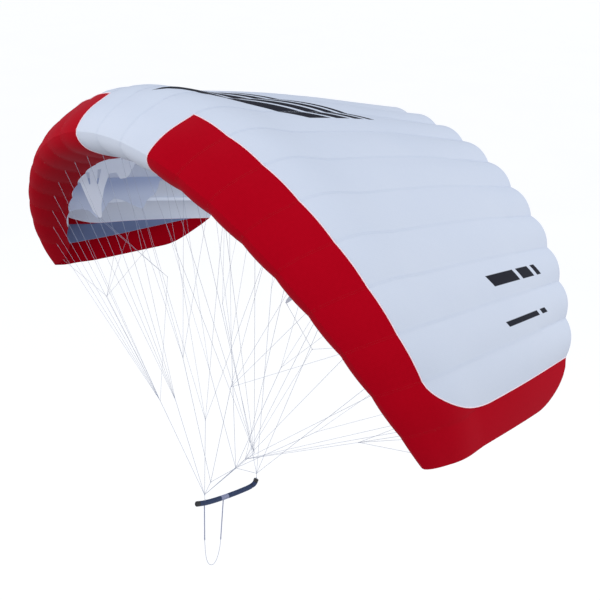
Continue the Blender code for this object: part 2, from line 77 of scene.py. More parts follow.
SLOPE_STEP = 0.004  # of girth, each way, when the cloth's slope is measured

# Cloth, in metres. TIP_BULGE is a share of the other cells' bulge.
SKIN = 0.0008
HEM = 0.0016
HEM_WIDTH = 0.012
RIB_CLOTH = 0.0008
RIB_CLEAR = 0.0009  # from the skin's inner face to a rib
NOSE_BULGE = 0.0025
BULGE = 0.0050
TAIL_BULGE = 0.0190
TIP_BULGE = 0.35
HEM_SCALLOP = 0.0080
# A cell's valley is this much sharper round this chord fraction, where its rib carries the lines
PLEAT = 0.80
PLEAT_AT = 0.26
PLEAT_WIDTH = 0.08
PLEAT_POWER = 0.55

# Mesh of the cloth
CELL_STEPS = 10
NOSE_STEPS = 22
TOP_STEPS = 40
CORNER_STEPS = 14


# Shader and geometry trees ------------------------


def operator(operation, turned=False):
    """A method that adds one Math node for a field and another value, in turned order if asked."""

    def method(self, other):
        return self.math(operation, *((other, self) if turned else (self, other)))

    return method


class Field:
    """A number, colour or vector that varies over a surface. Arithmetic on it adds Math nodes."""

    def __init__(self, tree, socket):
        self.tree = tree
        self.socket = socket

    def math(self, operation, *parts):
        return self.tree.add("ShaderNodeMath", parts, operation=operation)

    __add__, __radd__ = operator("ADD"), operator("ADD", True)
    __sub__, __rsub__ = operator("SUBTRACT"), operator("SUBTRACT", True)
    __mul__, __rmul__ = operator("MULTIPLY"), operator("MULTIPLY", True)
    __truediv__, __rtruediv__ = operator("DIVIDE"), operator("DIVIDE", True)
    least, most = operator("MINIMUM"), operator("MAXIMUM")

    def __abs__(self):
        return self.math("ABSOLUTE", self)

    def part(self):
        return self.math("FRACT", self)

    def wave(self):
        """The sine of a number of whole turns."""
        return self.math("SINE", self * TURN)

    def also(self, name):
        """Another output of the same node."""
        return Field(self.tree, self.socket.node.outputs[name])

    def eased(self, low, high):
        """0 at low and 1 at high, with a smooth rise between."""
        sockets = {"Value": self, "From Min": low, "From Max": high}
        return self.tree.add("ShaderNodeMapRange", sockets, interpolation_type="SMOOTHSTEP")

    def to_line(self, pitch):
        """Distance to the nearest of evenly spaced lines, the first at 0."""
        return pitch / 2 - abs((self / pitch).part() - 0.5) * pitch


class Tree:
    """Adds nodes to a node tree. A node's own settings are set before its sockets."""

    def __init__(self, tree):
        self.tree = tree

    def add(self, kind, sockets=(), out=0, **settings):
        node = self.tree.nodes.new(kind)
        for name, value in settings.items():
            setattr(node, name, value)
        named = sockets.items() if isinstance(sockets, dict) else enumerate(sockets)
        for name, value in named:
            self.feed(node.inputs[name], value)
        return Field(self, node.outputs[out])

    def feed(self, socket, value):
        if isinstance(value, Field):
            self.tree.links.new(value.socket, socket)
        else:
            socket.default_value = value

    def split(self, vector):
        x = self.add("ShaderNodeSeparateXYZ", (vector,))
        return x, x.also("Y"), x.also("Z")

    def scaled(self, vector, by):
        return self.add("ShaderNodeVectorMath", (vector, by), operation="MULTIPLY")

    def captured(self, geometry, value):
        """Geometry that carries a value from its points, and that value further on."""
        node = self.tree.nodes.new("GeometryNodeCaptureAttribute")
        node.capture_items.new("FLOAT", "Kept")
        self.feed(node.inputs["Geometry"], geometry)
        self.feed(node.inputs["Kept"], value)
        return Field(self, node.outputs["Geometry"]), Field(self, node.outputs["Kept"])

    def mix(self, share, first, second):
        """A colour part way from the first to the second."""
        return self.add("ShaderNodeMix", {0: share, 6: first, 7: second}, out=2, data_type="RGBA")

    def noise(self, place, scale, detail=3.0, roughness=0.55):
        sockets = {"Vector": place, "Scale": scale, "Detail": detail, "Roughness": roughness}
        return self.add("ShaderNodeTexNoise", sockets)

    def bump(self, height, distance, strength):
        return self.add("ShaderNodeBump", {"Height": height, "Distance": distance, "Strength": strength})

    def covered(self, tone, rough, *relief):
        """What a paint gives: colour, roughness, and the height, distance and strength of its relief."""
        return {"Base_Color": tone, "Roughness": rough, "Normal": self.bump(*relief)}

    def place(self):
        """A place in the piece's own space."""
        return self.add("ShaderNodeTexCoord", out="Object")

    def mottle(self, *values):
        """Noise in the piece's own space."""
        return self.noise(self.place(), *values)

    def cut(self):
        """A place on the flat cut, in metres, or as (turns, metres) on a cord."""
        return self.add("ShaderNodeUVMap", uv_map="Cut")


def rgb(red, green, blue):
    """A colour socket's value from red, green and blue as a screen shows them, 0 to 255."""
    shares = [part / 255 for part in (red, green, blue)]
    linear = [c / 12.92 if c <= 0.04045 else ((c + 0.055) / 1.055) ** 2.4 for c in shares]
    return (*linear, 1.0)


def surface(name, paint, values, constants):
    """A material. Its paint function gives the sockets that vary; the constants are by socket name."""
    material = bpy.data.materials.new(name)
    material.use_nodes = True
    tree = Tree(material.node_tree)
    shader = material.node_tree.nodes["Principled BSDF"]
    for socket, value in {**constants, **paint(tree, *values)}.items():
        tree.feed(shader.inputs[socket.replace("_", " ")], value)
    return material


# Where things are on the wing ------------------------


def unit(vectors):
    return vectors / np.linalg.norm(vectors, axis=-1, keepdims=True)


def reached(points):
    """Distance along a line of points to each of them."""
    return np.concatenate([[0.0], np.cumsum(np.linalg.norm(np.diff(points, axis=0), axis=1))])


def powers(law, s):
    return sum(factor * s**power for power, factor in law.items())


def arc_table():
    """Span fractions, and how far out and up the middle of the chord is there."""
    s = np.linspace(0.0, SPAN_END, ARC_STEPS + 1)
    tilt = powers(ARC_TURN, s)
    width = np.diff(s) * HALF_SPAN
    across, down = np.cos(tilt), np.sin(tilt)
    x = np.concatenate([[0.0], np.cumsum((across[1:] + across[:-1]) / 2 * width)])
    z = np.concatenate([[0.0], np.cumsum((down[1:] + down[:-1]) / 2 * width)])
    return s, x, -z


ARC_S, ARC_X, ARC_Z = arc_table()
PITCHED = np.array(Matrix.Rotation(-WING_PITCH, 3, "X"))


def rib_span(rib):
    return 1.0 - rib / (CELLS / 2)


def section(s):
    """Origin, chord direction, height direction and chord length of the sections at span fractions s."""
    s = np.asarray(s, float)
    side = np.where(s < 0, -1.0, 1.0)
    a = np.abs(s)
    tilt = powers(ARC_TURN, a)
    nose = -HALF_CHORD + powers(NOSE_SWEEP, a)
    tail = HALF_CHORD + powers(TAIL_SWEEP, a)
    rise = np.sin(np.radians(powers(TWIST_DEG, a)))
    up = np.stack([side * np.sin(tilt), 0 * a, np.cos(tilt)], -1)
    along = np.array([0.0, 1.0, 0.0]) - rise[..., None] * up
    start = np.stack([side * np.interp(a, ARC_S, ARC_X), nose, np.interp(a, ARC_S, ARC_Z)], -1)
    start = start + up * (0.5 * rise * (tail - nose))[..., None]
    return start @ PITCHED.T + WING_PLACE, along @ PITCHED.T, up @ PITCHED.T, tail - nose


def thinned(s, height):
    s, height = np.broadcast_arrays(np.asarray(s, float), np.asarray(height, float))
    return np.where(height > 0, height * (1.0 - TIP_THINNING * s**4), height)


def smooth(rows, at):
    """Heights at chord fractions `at` on a smooth curve through rows of (chord, height)."""
    v, h = np.array(rows).T
    slope = np.gradient(h, v)
    at = np.asarray(at, float)
    i = np.clip(np.searchsorted(v, at) - 1, 0, len(v) - 2)
    width = v[i + 1] - v[i]
    t = (at - v[i]) / width
    rise = h[i] * (1 + 2 * t) * (1 - t) ** 2 + h[i + 1] * t * t * (3 - 2 * t)
    return rise + width * (slope[i] * t * (1 - t) ** 2 + slope[i + 1] * t * t * (t - 1))


def rounded(rows, steps):
    """Points on a smooth curve through rows of points, `steps` to each stretch."""
    points = np.array(rows, float)
    line = np.vstack([2 * points[0] - points[1], points, 2 * points[-1] - points[-2]])
    t = (np.arange(steps) / steps)[:, None]
    made = []
    for a, b, c, d in zip(line, line[1:], line[2:], line[3:]):
        rise = b * (1 + 2 * t) * (1 - t) ** 2 + c * t * t * (3 - 2 * t)
        made.append(rise + (c - a) / 2 * t * (1 - t) ** 2 + (d - b) / 2 * t * t * (t - 1))
    return np.vstack([*made, points[-1:]])


def top_height(v):
    return smooth(OVER_NOSE[2:] + TOP[1:], v)


def profile_table():
    """Girths from the hem, (chord, height) at each, and the seam's girth, all as shares of the chord."""
    nose = rounded(UNDER_NOSE + OVER_NOSE[1:], NOSE_CURVE_STEPS)
    v = np.linspace(SEAM_CHORD, 1.0, TOP_CURVE_STEPS)[1:]
    rows = np.vstack([nose, np.stack([v, top_height(v)], -1)])
    girth = reached(rows)
    return girth, rows, girth[len(nose) - 1]


GIRTH, PROFILE, SEAM_GIRTH = profile_table()
TAIL_GIRTH = GIRTH[-1]
NOSE_GIRTH = GIRTH[np.argmin(PROFILE[:, 0])]


def girth_at(v):
    """Girth of a place on the top skin at chord fraction v."""
    over = GIRTH >= SEAM_GIRTH - 1e-9
    return np.interp(v, PROFILE[over, 0], GIRTH[over])


def seam_girth(s):
    """Girth of the seam between the nose band and the top skin."""
    share = np.clip((np.abs(s) - CORNER_FROM) / (rib_span(1) - CORNER_FROM), 0.0, 1.0)
    return girth_at(SEAM_CHORD + CORNER_DEPTH * (1.0 - np.sqrt(1.0 - share * share)))


def cell_share(s):
    """0 at a rib and 1 at mid cell."""
    t = (1.0 - np.minimum(1.0, np.abs(s))) * CELLS / 2 % 1.0
    return 4.0 * t * (1.0 - t)


def bulge(s, g):
    """How far the cloth stands proud of its ribs."""
    v = np.interp(g, GIRTH, PROFILE[:, 0])
    share = cell_share(s)
    carried = PLEAT * np.exp(-(((v - PLEAT_AT) / PLEAT_WIDTH) ** 2)) * (g > SEAM_GIRTH)
    rise = np.clip(g / SEAM_GIRTH, 0.0, 1.0) ** 2
    proud = NOSE_BULGE + (BULGE - NOSE_BULGE) * rise + (TAIL_BULGE - BULGE) * np.maximum(0.0, v) ** 4
    proud = proud * np.where(np.abs(s) > rib_span(1) + 1e-6, TIP_BULGE, 1.0)
    return proud * (share - (share - share**PLEAT_POWER) * carried)


def flat_profile(s, g):
    """Chordwise and upward distances in metres of the ribs' own outline at girth g."""
    chord = section(s)[3]
    drawn = HEM_SCALLOP * cell_share(s) * np.maximum(0.0, 1.0 - g / NOSE_GIRTH)
    v = np.interp(g, GIRTH, PROFILE[:, 0]) - drawn
    h = np.interp(g, GIRTH, PROFILE[:, 1])
    return np.stack([v * chord, thinned(s, h) * chord], -1)


def skin(s, g, lift=0.0):
    """Points on the skin's outer face at span fractions s and girths g, `lift` metres off it."""
    s, g = np.broadcast_arrays(np.asarray(s, float), np.asarray(g, float))
    start, along, up, _ = section(s)
    place = flat_profile(s, g)
    after, before = np.minimum(g + SLOPE_STEP, TAIL_GIRTH), np.maximum(g - SLOPE_STEP, 0.0)
    run = unit(flat_profile(s, after) - flat_profile(s, before))
    proud = np.stack([-run[..., 1], run[..., 0]], -1)
    place = place + proud * (bulge(s, g) + lift)[..., None]
    return start + along * place[..., :1] + up * place[..., 1:]


def in_section(s, flat):
    """Points in the plane of the section at s, from chordwise and upward distances in metres."""
    start, along, up, _ = section(s)
    flat = np.asarray(flat, float)
    return start + flat[..., :1] * along + flat[..., 1:] * up


# Mesh pieces ------------------------


def shown(name, mesh, *materials):
    """An object for a mesh."""
    for material in materials:
        mesh.materials.append(material)
    piece = bpy.data.objects.new(name, mesh)
    bpy.context.scene.collection.objects.link(piece)
    return piece


WELD = 0.00005
SLIVER = 0.00001
CLOTH_FOLD = 24.0
ROD_FOLD = 35.0
CORD_FOLD = 50.0


def creased(mesh, angle):
    mesh.shade_smooth()
    mesh.set_sharp_from_angle(angle=math.radians(angle))


def settled(piece, angle=CLOTH_FOLD):
    """Turns a piece and its modifiers into one plain mesh, sharp where it folds beyond the angle."""
    bpy.context.view_layer.update()
    graph = bpy.context.evaluated_depsgraph_get()
    mesh = bpy.data.meshes.new_from_object(piece.evaluated_get(graph), depsgraph=graph)
    piece.modifiers.clear()
    piece.data = mesh
    creased(mesh, angle)
    return piece


def thickened(piece, **settings):
    solid = piece.modifiers.new("Thickness", "SOLIDIFY")
    for name, value in settings.items():
        setattr(solid, name, value)
    return settled(piece)


def mapped(mesh, flat):
    """Maps each corner to its vertex's place on the flat cut."""
    cut = mesh.loops.layers.uv.new("Cut")
    for face in mesh.faces:
        for corner in face.loops:
            corner[cut].uv = corner.vert[flat][:2]


class Cloth:
    """Patches of one piece of cloth, welded where they meet, with a map of the flat cut in metres."""

    def __init__(self):
        self.mesh = bmesh.new()
        self.flat = self.mesh.verts.layers.float_vector.new("flat")
        self.hem = self.mesh.verts.layers.float.new("hem")

    def patch(self, spans, girths, hems=(False, False), edge=None):
        """A grid with a column at each span fraction; girths holds each column's rows, or one for all."""
        girths = np.broadcast_to(girths, (len(spans), girths.shape[1]))
        wide = np.repeat(np.asarray(spans)[:, None], girths.shape[1], 1)
        if edge is not None:
            wide = edge(wide, girths)
        places = skin(wide, girths)
        chord = section(wide)[3]
        columns = []
        for i in range(len(spans)):
            column = []
            for k in range(girths.shape[1]):
                vertex = self.mesh.verts.new(places[i, k])
                vertex[self.flat] = (wide[i, k] * HALF_SPAN, girths[i, k] * chord[i, k], 0.0)
                vertex[self.hem] = (hems[0] and k < 2) or (hems[1] and k > girths.shape[1] - 3)
                column.append(vertex)
            columns.append(column)
        if spans[-1] < spans[0]:
            columns.reverse()
        for left, right in zip(columns, columns[1:]):
            for k in range(len(left) - 1):
                self.mesh.faces.new((left[k], right[k], right[k + 1], left[k + 1]))

    def finish(self, name, outside, inside):
        bmesh.ops.remove_doubles(self.mesh, verts=self.mesh.verts, dist=WELD)
        bmesh.ops.dissolve_degenerate(self.mesh, edges=self.mesh.edges, dist=SLIVER)
        mapped(self.mesh, self.flat)
        hems = [vertex[self.hem] for vertex in self.mesh.verts]
        data = bpy.data.meshes.new(name)
        self.mesh.to_mesh(data)
        self.mesh.free()
        piece = shown(name, data, outside, inside)
        group = piece.vertex_groups.new(name="hem")
        group.add([i for i, hem in enumerate(hems) if hem > 0.5], 1.0, "REPLACE")
        values = {"thickness": HEM, "thickness_vertex_group": SKIN / HEM, "vertex_group": "hem"}
        return thickened(piece, offset=-1.0, material_offset=1, **values)


def rows_from(first, last, steps, hem=False):
    """Rows of girths for each column, from `first` to `last`, with a last narrow row for a hem."""
    share = np.linspace(0.0, 1.0, steps + 1)
    if hem:
        share = np.concatenate([np.linspace(0.0, 1.0 - HEM_WIDTH, steps), [1.0]])
    first, last = np.broadcast_arrays(np.atleast_1d(first)[:, None], np.atleast_1d(last)[:, None])
    return first + (last - first) * share


def cell_spans(first_rib, last_rib):
    """Span fractions from one rib out to another, CELL_STEPS to a cell."""
    return np.linspace(rib_span(first_rib), rib_span(last_rib), (first_rib - last_rib) * CELL_STEPS + 1)


def corner_spans():
    """Span fractions across the last white cell, closer together towards the tip."""
    share = 1.0 - (1.0 - np.linspace(0.0, 1.0, CORNER_STEPS + 1)) ** 2
    return rib_span(2) + share * (rib_span(1) - rib_span(2))


def tube_mesh(rings, around, reach):
    """Vertices, faces and face maps of a tube through rings of points, with filled ends."""
    count, sides = rings.shape[:2]
    vertices = rings.reshape(-1, 3)
    faces, maps = [], []
    for i in range(count - 1):
        n = i + 1
        low, high = reach[i], reach[n]
        for j in range(sides):
            m = (j + 1) % sides
            faces.append((i * sides + j, i * sides + m, n * sides + m, n * sides + j))
            maps.append(((around[j], low), (around[j + 1], low), (around[j + 1], high), (around[j], high)))
    for i, turn in ((0, -1), (count - 1, 1)):
        faces.append(tuple(range(i * sides, (i + 1) * sides))[::turn])
        maps.append(tuple((around[j], reach[i]) for j in range(sides))[::turn])
    return vertices, faces, maps


def rod_piece(name, tube, material):
    """A piece from the vertices, faces and face maps of a tube."""
    vertices, faces, maps = tube
    mesh = bpy.data.meshes.new(name)
    mesh.from_pydata([tuple(place) for place in vertices], [], faces)
    cut = mesh.uv_layers.new(name="Cut")
    cut.data.foreach_set("uv", np.array([place for face in maps for place in face], float).ravel())
    sides = bmesh.new()
    sides.from_mesh(mesh)
    bmesh.ops.recalc_face_normals(sides, faces=sides.faces)
    sides.to_mesh(mesh)
    sides.free()
    creased(mesh, ROD_FOLD)
    return shown(name, mesh, material)


# Geometry trees ------------------------


class Recipe(Tree):
    """A geometry tree with named inputs that turns a seed mesh of lines into a finished mesh."""

    KINDS = {"Material": "NodeSocketMaterial", "Sides": "NodeSocketInt"}

    def __init__(self, name, *labels):
        super().__init__(bpy.data.node_groups.new(name, "GeometryNodeTree"))
        face = self.tree.interface
        face.new_socket("Geometry", in_out="INPUT", socket_type="NodeSocketGeometry")
        for label in labels:
            face.new_socket(label, in_out="INPUT", socket_type=self.KINDS.get(label, "NodeSocketFloat"))
        face.new_socket("Geometry", in_out="OUTPUT", socket_type="NodeSocketGeometry")
        entry = self.tree.nodes.new("NodeGroupInput")
        self.given = {socket.name: Field(self, socket) for socket in entry.outputs if socket.name}

    def end(self, geometry):
        real = self.add("GeometryNodeRealizeInstances", (geometry,))
        made = self.add("GeometryNodeSetMaterial", {"Geometry": real, "Material": self.given["Material"]})
        leave = self.tree.nodes.new("NodeGroupOutput")
        self.feed(leave.inputs[0], made)

    def make(self, name, seed, **values):
        """The plain mesh that this tree makes of a seed mesh."""
        piece = shown(name, seed)
        modifier = piece.modifiers.new("Recipe", "NODES")
        modifier.node_group = self.tree
        for item in self.tree.interface.items_tree:
            if item.in_out == "INPUT" and item.name in values:
                modifier[item.identifier] = values[item.name]
        return settled(piece, CORD_FOLD)


def paths(name, lines):
    """A seed mesh of open lines of points."""
    vertices, edges = [], []
    for line in lines:
        base = len(vertices)
        vertices.extend(tuple(place) for place in line)
        edges.extend((base + i, base + i + 1) for i in range(len(line) - 1))
    mesh = bpy.data.meshes.new(name)
    mesh.from_pydata(vertices, edges, [])
    return mesh


def cord_recipe():
    """Round cord along each line, with a map of (turns, metres along it)."""
    tree = Recipe("Cord along lines", "Radius", "Sides", "Material")
    curve = tree.add("GeometryNodeMeshToCurve", (tree.given["Geometry"],))
    curve, length = tree.captured(curve, tree.add("GeometryNodeSplineParameter", out="Length"))
    sockets = {"Resolution": tree.given["Sides"], "Radius": tree.given["Radius"]}
    circle = tree.add("GeometryNodeCurvePrimitiveCircle", sockets, mode="RADIUS")
    circle, turns = tree.captured(circle, tree.add("GeometryNodeSplineParameter", out="Factor"))
    sockets = {"Curve": curve, "Profile Curve": circle, "Fill Caps": True}
    mesh = tree.add("GeometryNodeCurveToMesh", sockets)
    cut = tree.add("ShaderNodeCombineXYZ", (turns, length))
    sockets = {"Geometry": mesh, "Name": "Cut", "Value": cut}
    tree.end(tree.add("GeometryNodeStoreNamedAttribute", sockets, data_type="FLOAT2", domain="CORNER"))
    return tree


def stitch_recipe():
    """Threads laid end to end along each line, a gap between one and the next."""
    tree = Recipe("Stitches along lines", "Pitch", "Length", "Thread", "Sides", "Material")
    curve = tree.add("GeometryNodeMeshToCurve", (tree.given["Geometry"],))
    sockets = {"Curve": curve, "Length": tree.given["Pitch"]}
    points = tree.add("GeometryNodeCurveToPoints", sockets, mode="LENGTH")
    shape = {"Vertices": "Sides", "Radius": "Thread", "Depth": "Length"}
    sockets = {socket: tree.given[label] for socket, label in shape.items()}
    thread = tree.add("GeometryNodeMeshCylinder", sockets, fill_type="NGON")
    sockets = {"Points": points, "Instance": thread, "Rotation": points.also("Rotation")}
    tree.end(tree.add("GeometryNodeInstanceOnPoints", sockets))
    return tree


# Materials ------------------------

# Noises, as scale and detail, and a roughness where it has its own
BLOTCHES = (2.2, 3.0)
FUZZ = (90.0, 2.0)
CREASES = (1.2, 3.0, 0.4)
PUCKERS = (1.0, 2.0)
PORES = (900.0, 2.0)
GRAIN = (1400.0, 2.0)
RIPSTOP_GRID = 0.005
THREAD_EDGE = (0.0002, 0.0007)
CREASE_STRETCH = (5.0, 1.6, 5.0)
CREASE_HEIGHT = 0.0030
THREAD_HEIGHT = 0.00002
ALLOWANCE = (0.0050, 0.0062)  # the edge of the folded cloth beside a seam
PUCKER_STRETCH = (22.0, 60.0, 0.0)
PUCKER_REACH = 0.035
PUCKER_HEIGHT = 0.0012
INK = (9, 13, 30)
STRAND_TURNS = 4.0  # crossings round a cord
STRAND_PITCH = 0.003
DIAMOND = 0.006
GROOVE = 0.16  # of a diamond
RELIEF = 0.0004
WEAVE_RIB = 0.0012
SOFT_EDGE = 0.0012
RUBBED = (90, 104, 132)
MARK_PORE = (24, 32, 52)
# The mark's pale patch: where it starts and ends round the ring and along it, and its soft edge
PATCH_AROUND = (0.0006, 0.0095, 0.0004)
PATCH_ALONG = (0.0012, 0.0075, 0.0004)
# Printed bars: across each row, the low and high edge of each bar in metres
TOP_SLANT = 1.45
TOP_BARS = ((0.50, 0.62), (0.65, 0.73), (0.76, 0.82), (0.85, 0.89))
TOP_BARS_REACH = (-0.02, 0.285)
TIP_SLANT = 0.55
TIP_BARS = (
    ((1.030, 1.072), ((0.44, 0.66), (0.69, 0.80), (0.83, 0.87))),
    ((1.196, 1.216), ((0.30, 0.58), (0.61, 0.66))),
)


def ripstop(tree, colour, shade, glint, art=None, seams=0.16, fade=None):
    """Coated ripstop cloth: thread grid, seam allowances painted darker (the doubled cloth and painted
    shade), puckers by the seams and soft creases.
    """
    cut, place = tree.cut(), tree.place()
    u, v, _ = tree.split(cut)
    grid = u.to_line(RIPSTOP_GRID).least(v.to_line(RIPSTOP_GRID))
    thread = 1.0 - grid.eased(*THREAD_EDGE)
    broad = tree.noise(place, *BLOTCHES)
    fine = tree.noise(place, *FUZZ)
    tone = tree.mix((broad - 0.35) * 1.4, colour, shade)
    tone = tree.mix(thread * 0.5 + fine * 0.4, tone, glint)
    crease = tree.noise(tree.scaled(place, CREASE_STRETCH), *CREASES)
    height = crease * CREASE_HEIGHT + thread * THREAD_HEIGHT
    # fade darkens the cloth towards the top of its cut; only rib 3's look uses it, towards the skin.
    if fade is not None:
        low, high, other = fade
        tone = tree.mix(v.eased(low, high), tone, other)
    if seams > 0.0:
        # The seam allowances are painted darker by the share seams: partly the doubled cloth's own tone,
        # partly painted shade of the fold.
        off = ((1.0 - abs(u) / HALF_SPAN) * (CELLS / 2)).to_line(1.0) * CELL
        allowance = 1.0 - off.eased(*ALLOWANCE)
        tone = tree.mix(allowance * seams, tone, shade)
        pucker = tree.noise(tree.scaled(cut, PUCKER_STRETCH), *PUCKERS)
        height = height + pucker * (1.0 - off.eased(0.0, PUCKER_REACH)) * PUCKER_HEIGHT
    if art is not None:
        tone = tree.mix(art(u, v), tone, rgb(*INK))
    return tree.covered(tone, 0.55 + broad * 0.15, height, 1.0, 0.5)


def within(value, low, high, soft=SOFT_EDGE):
    """1 where a value is between two others, with a narrow soft edge."""
    return value.eased(low - soft, low + soft) * (1.0 - value.eased(high - soft, high + soft))


def any_of(value, spans):
    """1 where a value is in one of several spans."""
    first, *others = [within(value, *span) for span in spans]
    for other in others:
        first = first.most(other)
    return first


def printed(u, v):
    """Navy slanted bars by the middle of the top and two rows of bars near each tip."""
    a = abs(u)
    bars = any_of(v - u * TOP_SLANT, TOP_BARS) * within(u, *TOP_BARS_REACH)
    slant = v - a * TIP_SLANT
    upper, lower = (within(a, *row) * any_of(slant, spans) for row, spans in TIP_BARS)
    return bars.most(upper).most(lower)


def braid(tree, colour, shade):
    """Braided cord: strands that cross round it."""
    around, along, _ = tree.split(tree.cut())
    around, along = around * STRAND_TURNS, along / STRAND_PITCH
    strand = (around + along).wave() * (around - along).wave()
    worn = tree.mottle(9.0, 3.0)
    tone = tree.mix(strand * 0.25 + worn * 0.6, colour, shade)
    return tree.covered(tone, 0.5 + worn * 0.2, strand, 0.0001, 0.7)


def foam(tree, colour, shade):
    """Moulded grip foam: a diamond relief with painted shade in its grooves, and fine pores."""
    around, along, _ = tree.split(tree.cut())
    off = (around + along).to_line(DIAMOND).least((around - along).to_line(DIAMOND))
    groove = 1.0 - off.eased(0.0, DIAMOND * GROOVE)
    pore = tree.mottle(*PORES)
    worn = tree.mottle(14.0, 4.0)
    # The grooves are painted darker: painted shade in the relief.
    tone = tree.mix(groove * 0.7 + pore * 0.2, colour, shade)
    tone = tree.mix((worn - 0.45).most(0.0) * 0.5, tone, rgb(*RUBBED))
    height = (1.0 - groove) * RELIEF + pore * 0.0001
    return tree.covered(tone, 0.62 + pore * 0.2, height, 1.0, 0.8)


def moulded(tree, colour, shade):
    """Plain moulded plastic: fine grain and rubbed places."""
    grain = tree.mottle(*GRAIN)
    worn = tree.mottle(30.0, 4.0)
    tone = tree.mix(worn * 0.8, colour, shade)
    return tree.covered(tone, 0.38 + worn * 0.25, grain, 0.0001, 0.5)


def webbing(tree, colour, shade):
    """Woven tape: ribs across it and a herringbone of threads."""
    across, along, _ = tree.split(tree.cut())
    weave = ((along + across * 0.6) / WEAVE_RIB).wave()
    cross = (across / WEAVE_RIB).wave()
    worn = tree.mottle(20.0, 3.0)
    tone = tree.mix(weave * cross * 0.2 + worn * 0.6, colour, shade)
    height = weave * 0.00008 + cross * 0.00004
    return tree.covered(tone, 0.6 + worn * 0.15, height, 1.0, 0.8)


def marked(tree, colour, patch):
    """The foam ring with a pale patch on its lower right side."""
    around, along, _ = tree.split(tree.cut())
    pore = tree.mottle(*PORES)
    spot = within(around, *PATCH_AROUND) * within(along, *PATCH_ALONG)
    tone = tree.mix(spot, tree.mix(pore * 0.4, colour, rgb(*MARK_PORE)), patch)
    return tree.covered(tone, 0.6 + pore * 0.2, pore, 0.0002, 0.8)


def matte(tree, colour, shade):
    """The studio floor, with a very faint unevenness."""
    soft = tree.mottle(0.4, 2.0)
    return {"Base_Color": tree.mix(soft, colour, shade), "Roughness": 0.8 + soft * 0.1}


# Painted glow: the inner faces of the skin and the ribs give off this colour, which stands in for daylight
# through the thin cloth.
GLOW = (0.80, 0.86, 1.0, 1.0)  # daylight that comes through thin cloth
FLOOR_GLOW = 0.69  # so that it shows pale all over


def looks():
    """The materials, by the finish that the record gives."""
    white = (rgb(203, 211, 226), rgb(194, 204, 222), rgb(208, 215, 229))
    red = (rgb(163, 3, 22), rgb(149, 1, 14))
    grey = (rgb(222, 227, 236), rgb(208, 215, 227), rgb(226, 231, 239), None, 0.0)
    # Rib 3's look: a bluer, darker copy of the rib cloth, which is painted shade inside the wing.
    blue = (rgb(196, 206, 227), rgb(180, 192, 219), rgb(202, 212, 231), None, 0.0)
    # Rib 1's look: a dark blue-grey copy of the rib cloth, which is painted shade.
    rib_in_deep_shade = (rgb(110, 124, 160), rgb(94, 109, 146), rgb(102, 118, 156), None, 0.0)
    # Darker towards the top of rib 3's cut, where it meets the skin.
    fade = (-0.02, 0.10, rgb(142, 158, 196))
    # lit carries the painted glow of the inside and rib looks.
    lit = {"Specular_IOR_Level": 0.25, "Emission_Color": GLOW}
    sheen = {"Sheen_Weight": 0.15, "Sheen_Roughness": 0.4, "Sheen_Tint": (1.0, 0.45, 0.55, 1.0)}
    dull = {"Specular_IOR_Level": 0.0}
    made = {
        "white_cloth": ("white ripstop", ripstop, (*white, printed), {"Specular_IOR_Level": 0.1}),
        "white_inside": ("white ripstop inside", ripstop, white, {"Emission_Strength": 0.08, **lit}),
        "red_cloth": ("red ripstop", ripstop, (*red, rgb(182, 6, 30), None, 0.05), {**dull, **sheen}),
        "red_inside": ("red ripstop inside", ripstop, (*red, rgb(172, 5, 27), None, 0.05), dull),
        "rib_cloth": ("rib ripstop", ripstop, grey, {"Emission_Strength": 0.16, **lit}),
        "blue_rib_cloth": ("rib ripstop with painted shade", ripstop, (*blue, fade), {"Emission_Strength": 0.10, **lit}),
        "slate_rib_cloth": ("rib ripstop with painted deep shade", ripstop, rib_in_deep_shade, {}),
        "line_cord": ("braided line", braid, (rgb(176, 183, 202), rgb(156, 164, 186)), {}),
        "webbing": ("woven sleeve", webbing, (rgb(150, 156, 186), rgb(130, 137, 170)), {}),
        "end_cap": ("cap rubber", moulded, (rgb(10, 11, 18), rgb(20, 22, 32)), {}),
        "centre_band": ("band weave", webbing, (rgb(150, 156, 186), rgb(128, 134, 166)), {}),
        "mark": ("mark ring", marked, (rgb(36, 46, 70), rgb(216, 221, 233)), {}),
        "grip_foam": ("navy grip foam", foam, (rgb(36, 58, 100), rgb(20, 31, 60)), {}),
        "seam_tape": ("seam piping", moulded, (rgb(250, 226, 234), rgb(242, 212, 222)), {}),
        "thread": ("sewing thread", moulded, (rgb(206, 213, 227), rgb(198, 206, 222)), {}),
        "red_thread": ("red thread", moulded, (rgb(174, 4, 24), rgb(162, 2, 18)), {}),
        "floor": (
            "pale studio floor",
            matte,
            (rgb(160, 160, 162), rgb(154, 155, 158)),
            {"Emission_Color": (1.0, 1.0, 1.0, 1.0), "Emission_Strength": FLOOR_GLOW},
        ),
    }
    return {look: surface(*parts) for look, parts in made.items()}


LOOKS = looks()


def finished(piece, nodes):
    """Lets a piece stand for its CAD nodes, which it hides, and move with the one body."""
    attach(piece, "root")
    if nodes:
        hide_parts(*nodes)


# Studio ------------------------

VIEW_FROM = (2.0769, -1.6120, 2.4537)
VIEW_TO = (0.1242, 0.4080, 0.9831)
VIEW_LENS = 42.13
SKY_BELOW = (0.30, 0.30, 0.33, 1.0)
SKY_LEVEL = (0.98, 1.0, 1.0, 1.0)
SKY_ABOVE = (0.80, 0.85, 0.94, 1.0)
SKY_SHADED = (0.20, 0.20, 0.23, 1.0)  # low on the left, so that the arch has shade inside
SKY_STRENGTH = 0.95
# Where each change of the sky's colour starts and ends, from -1 to 1 up and across
LEVEL_RISE = (-0.35, 0.10)
ABOVE_RISE = (0.20, 1.0)
SHADE_ACROSS = (-0.80, 0.10)
SHADE_RISE = (0.10, 0.65)
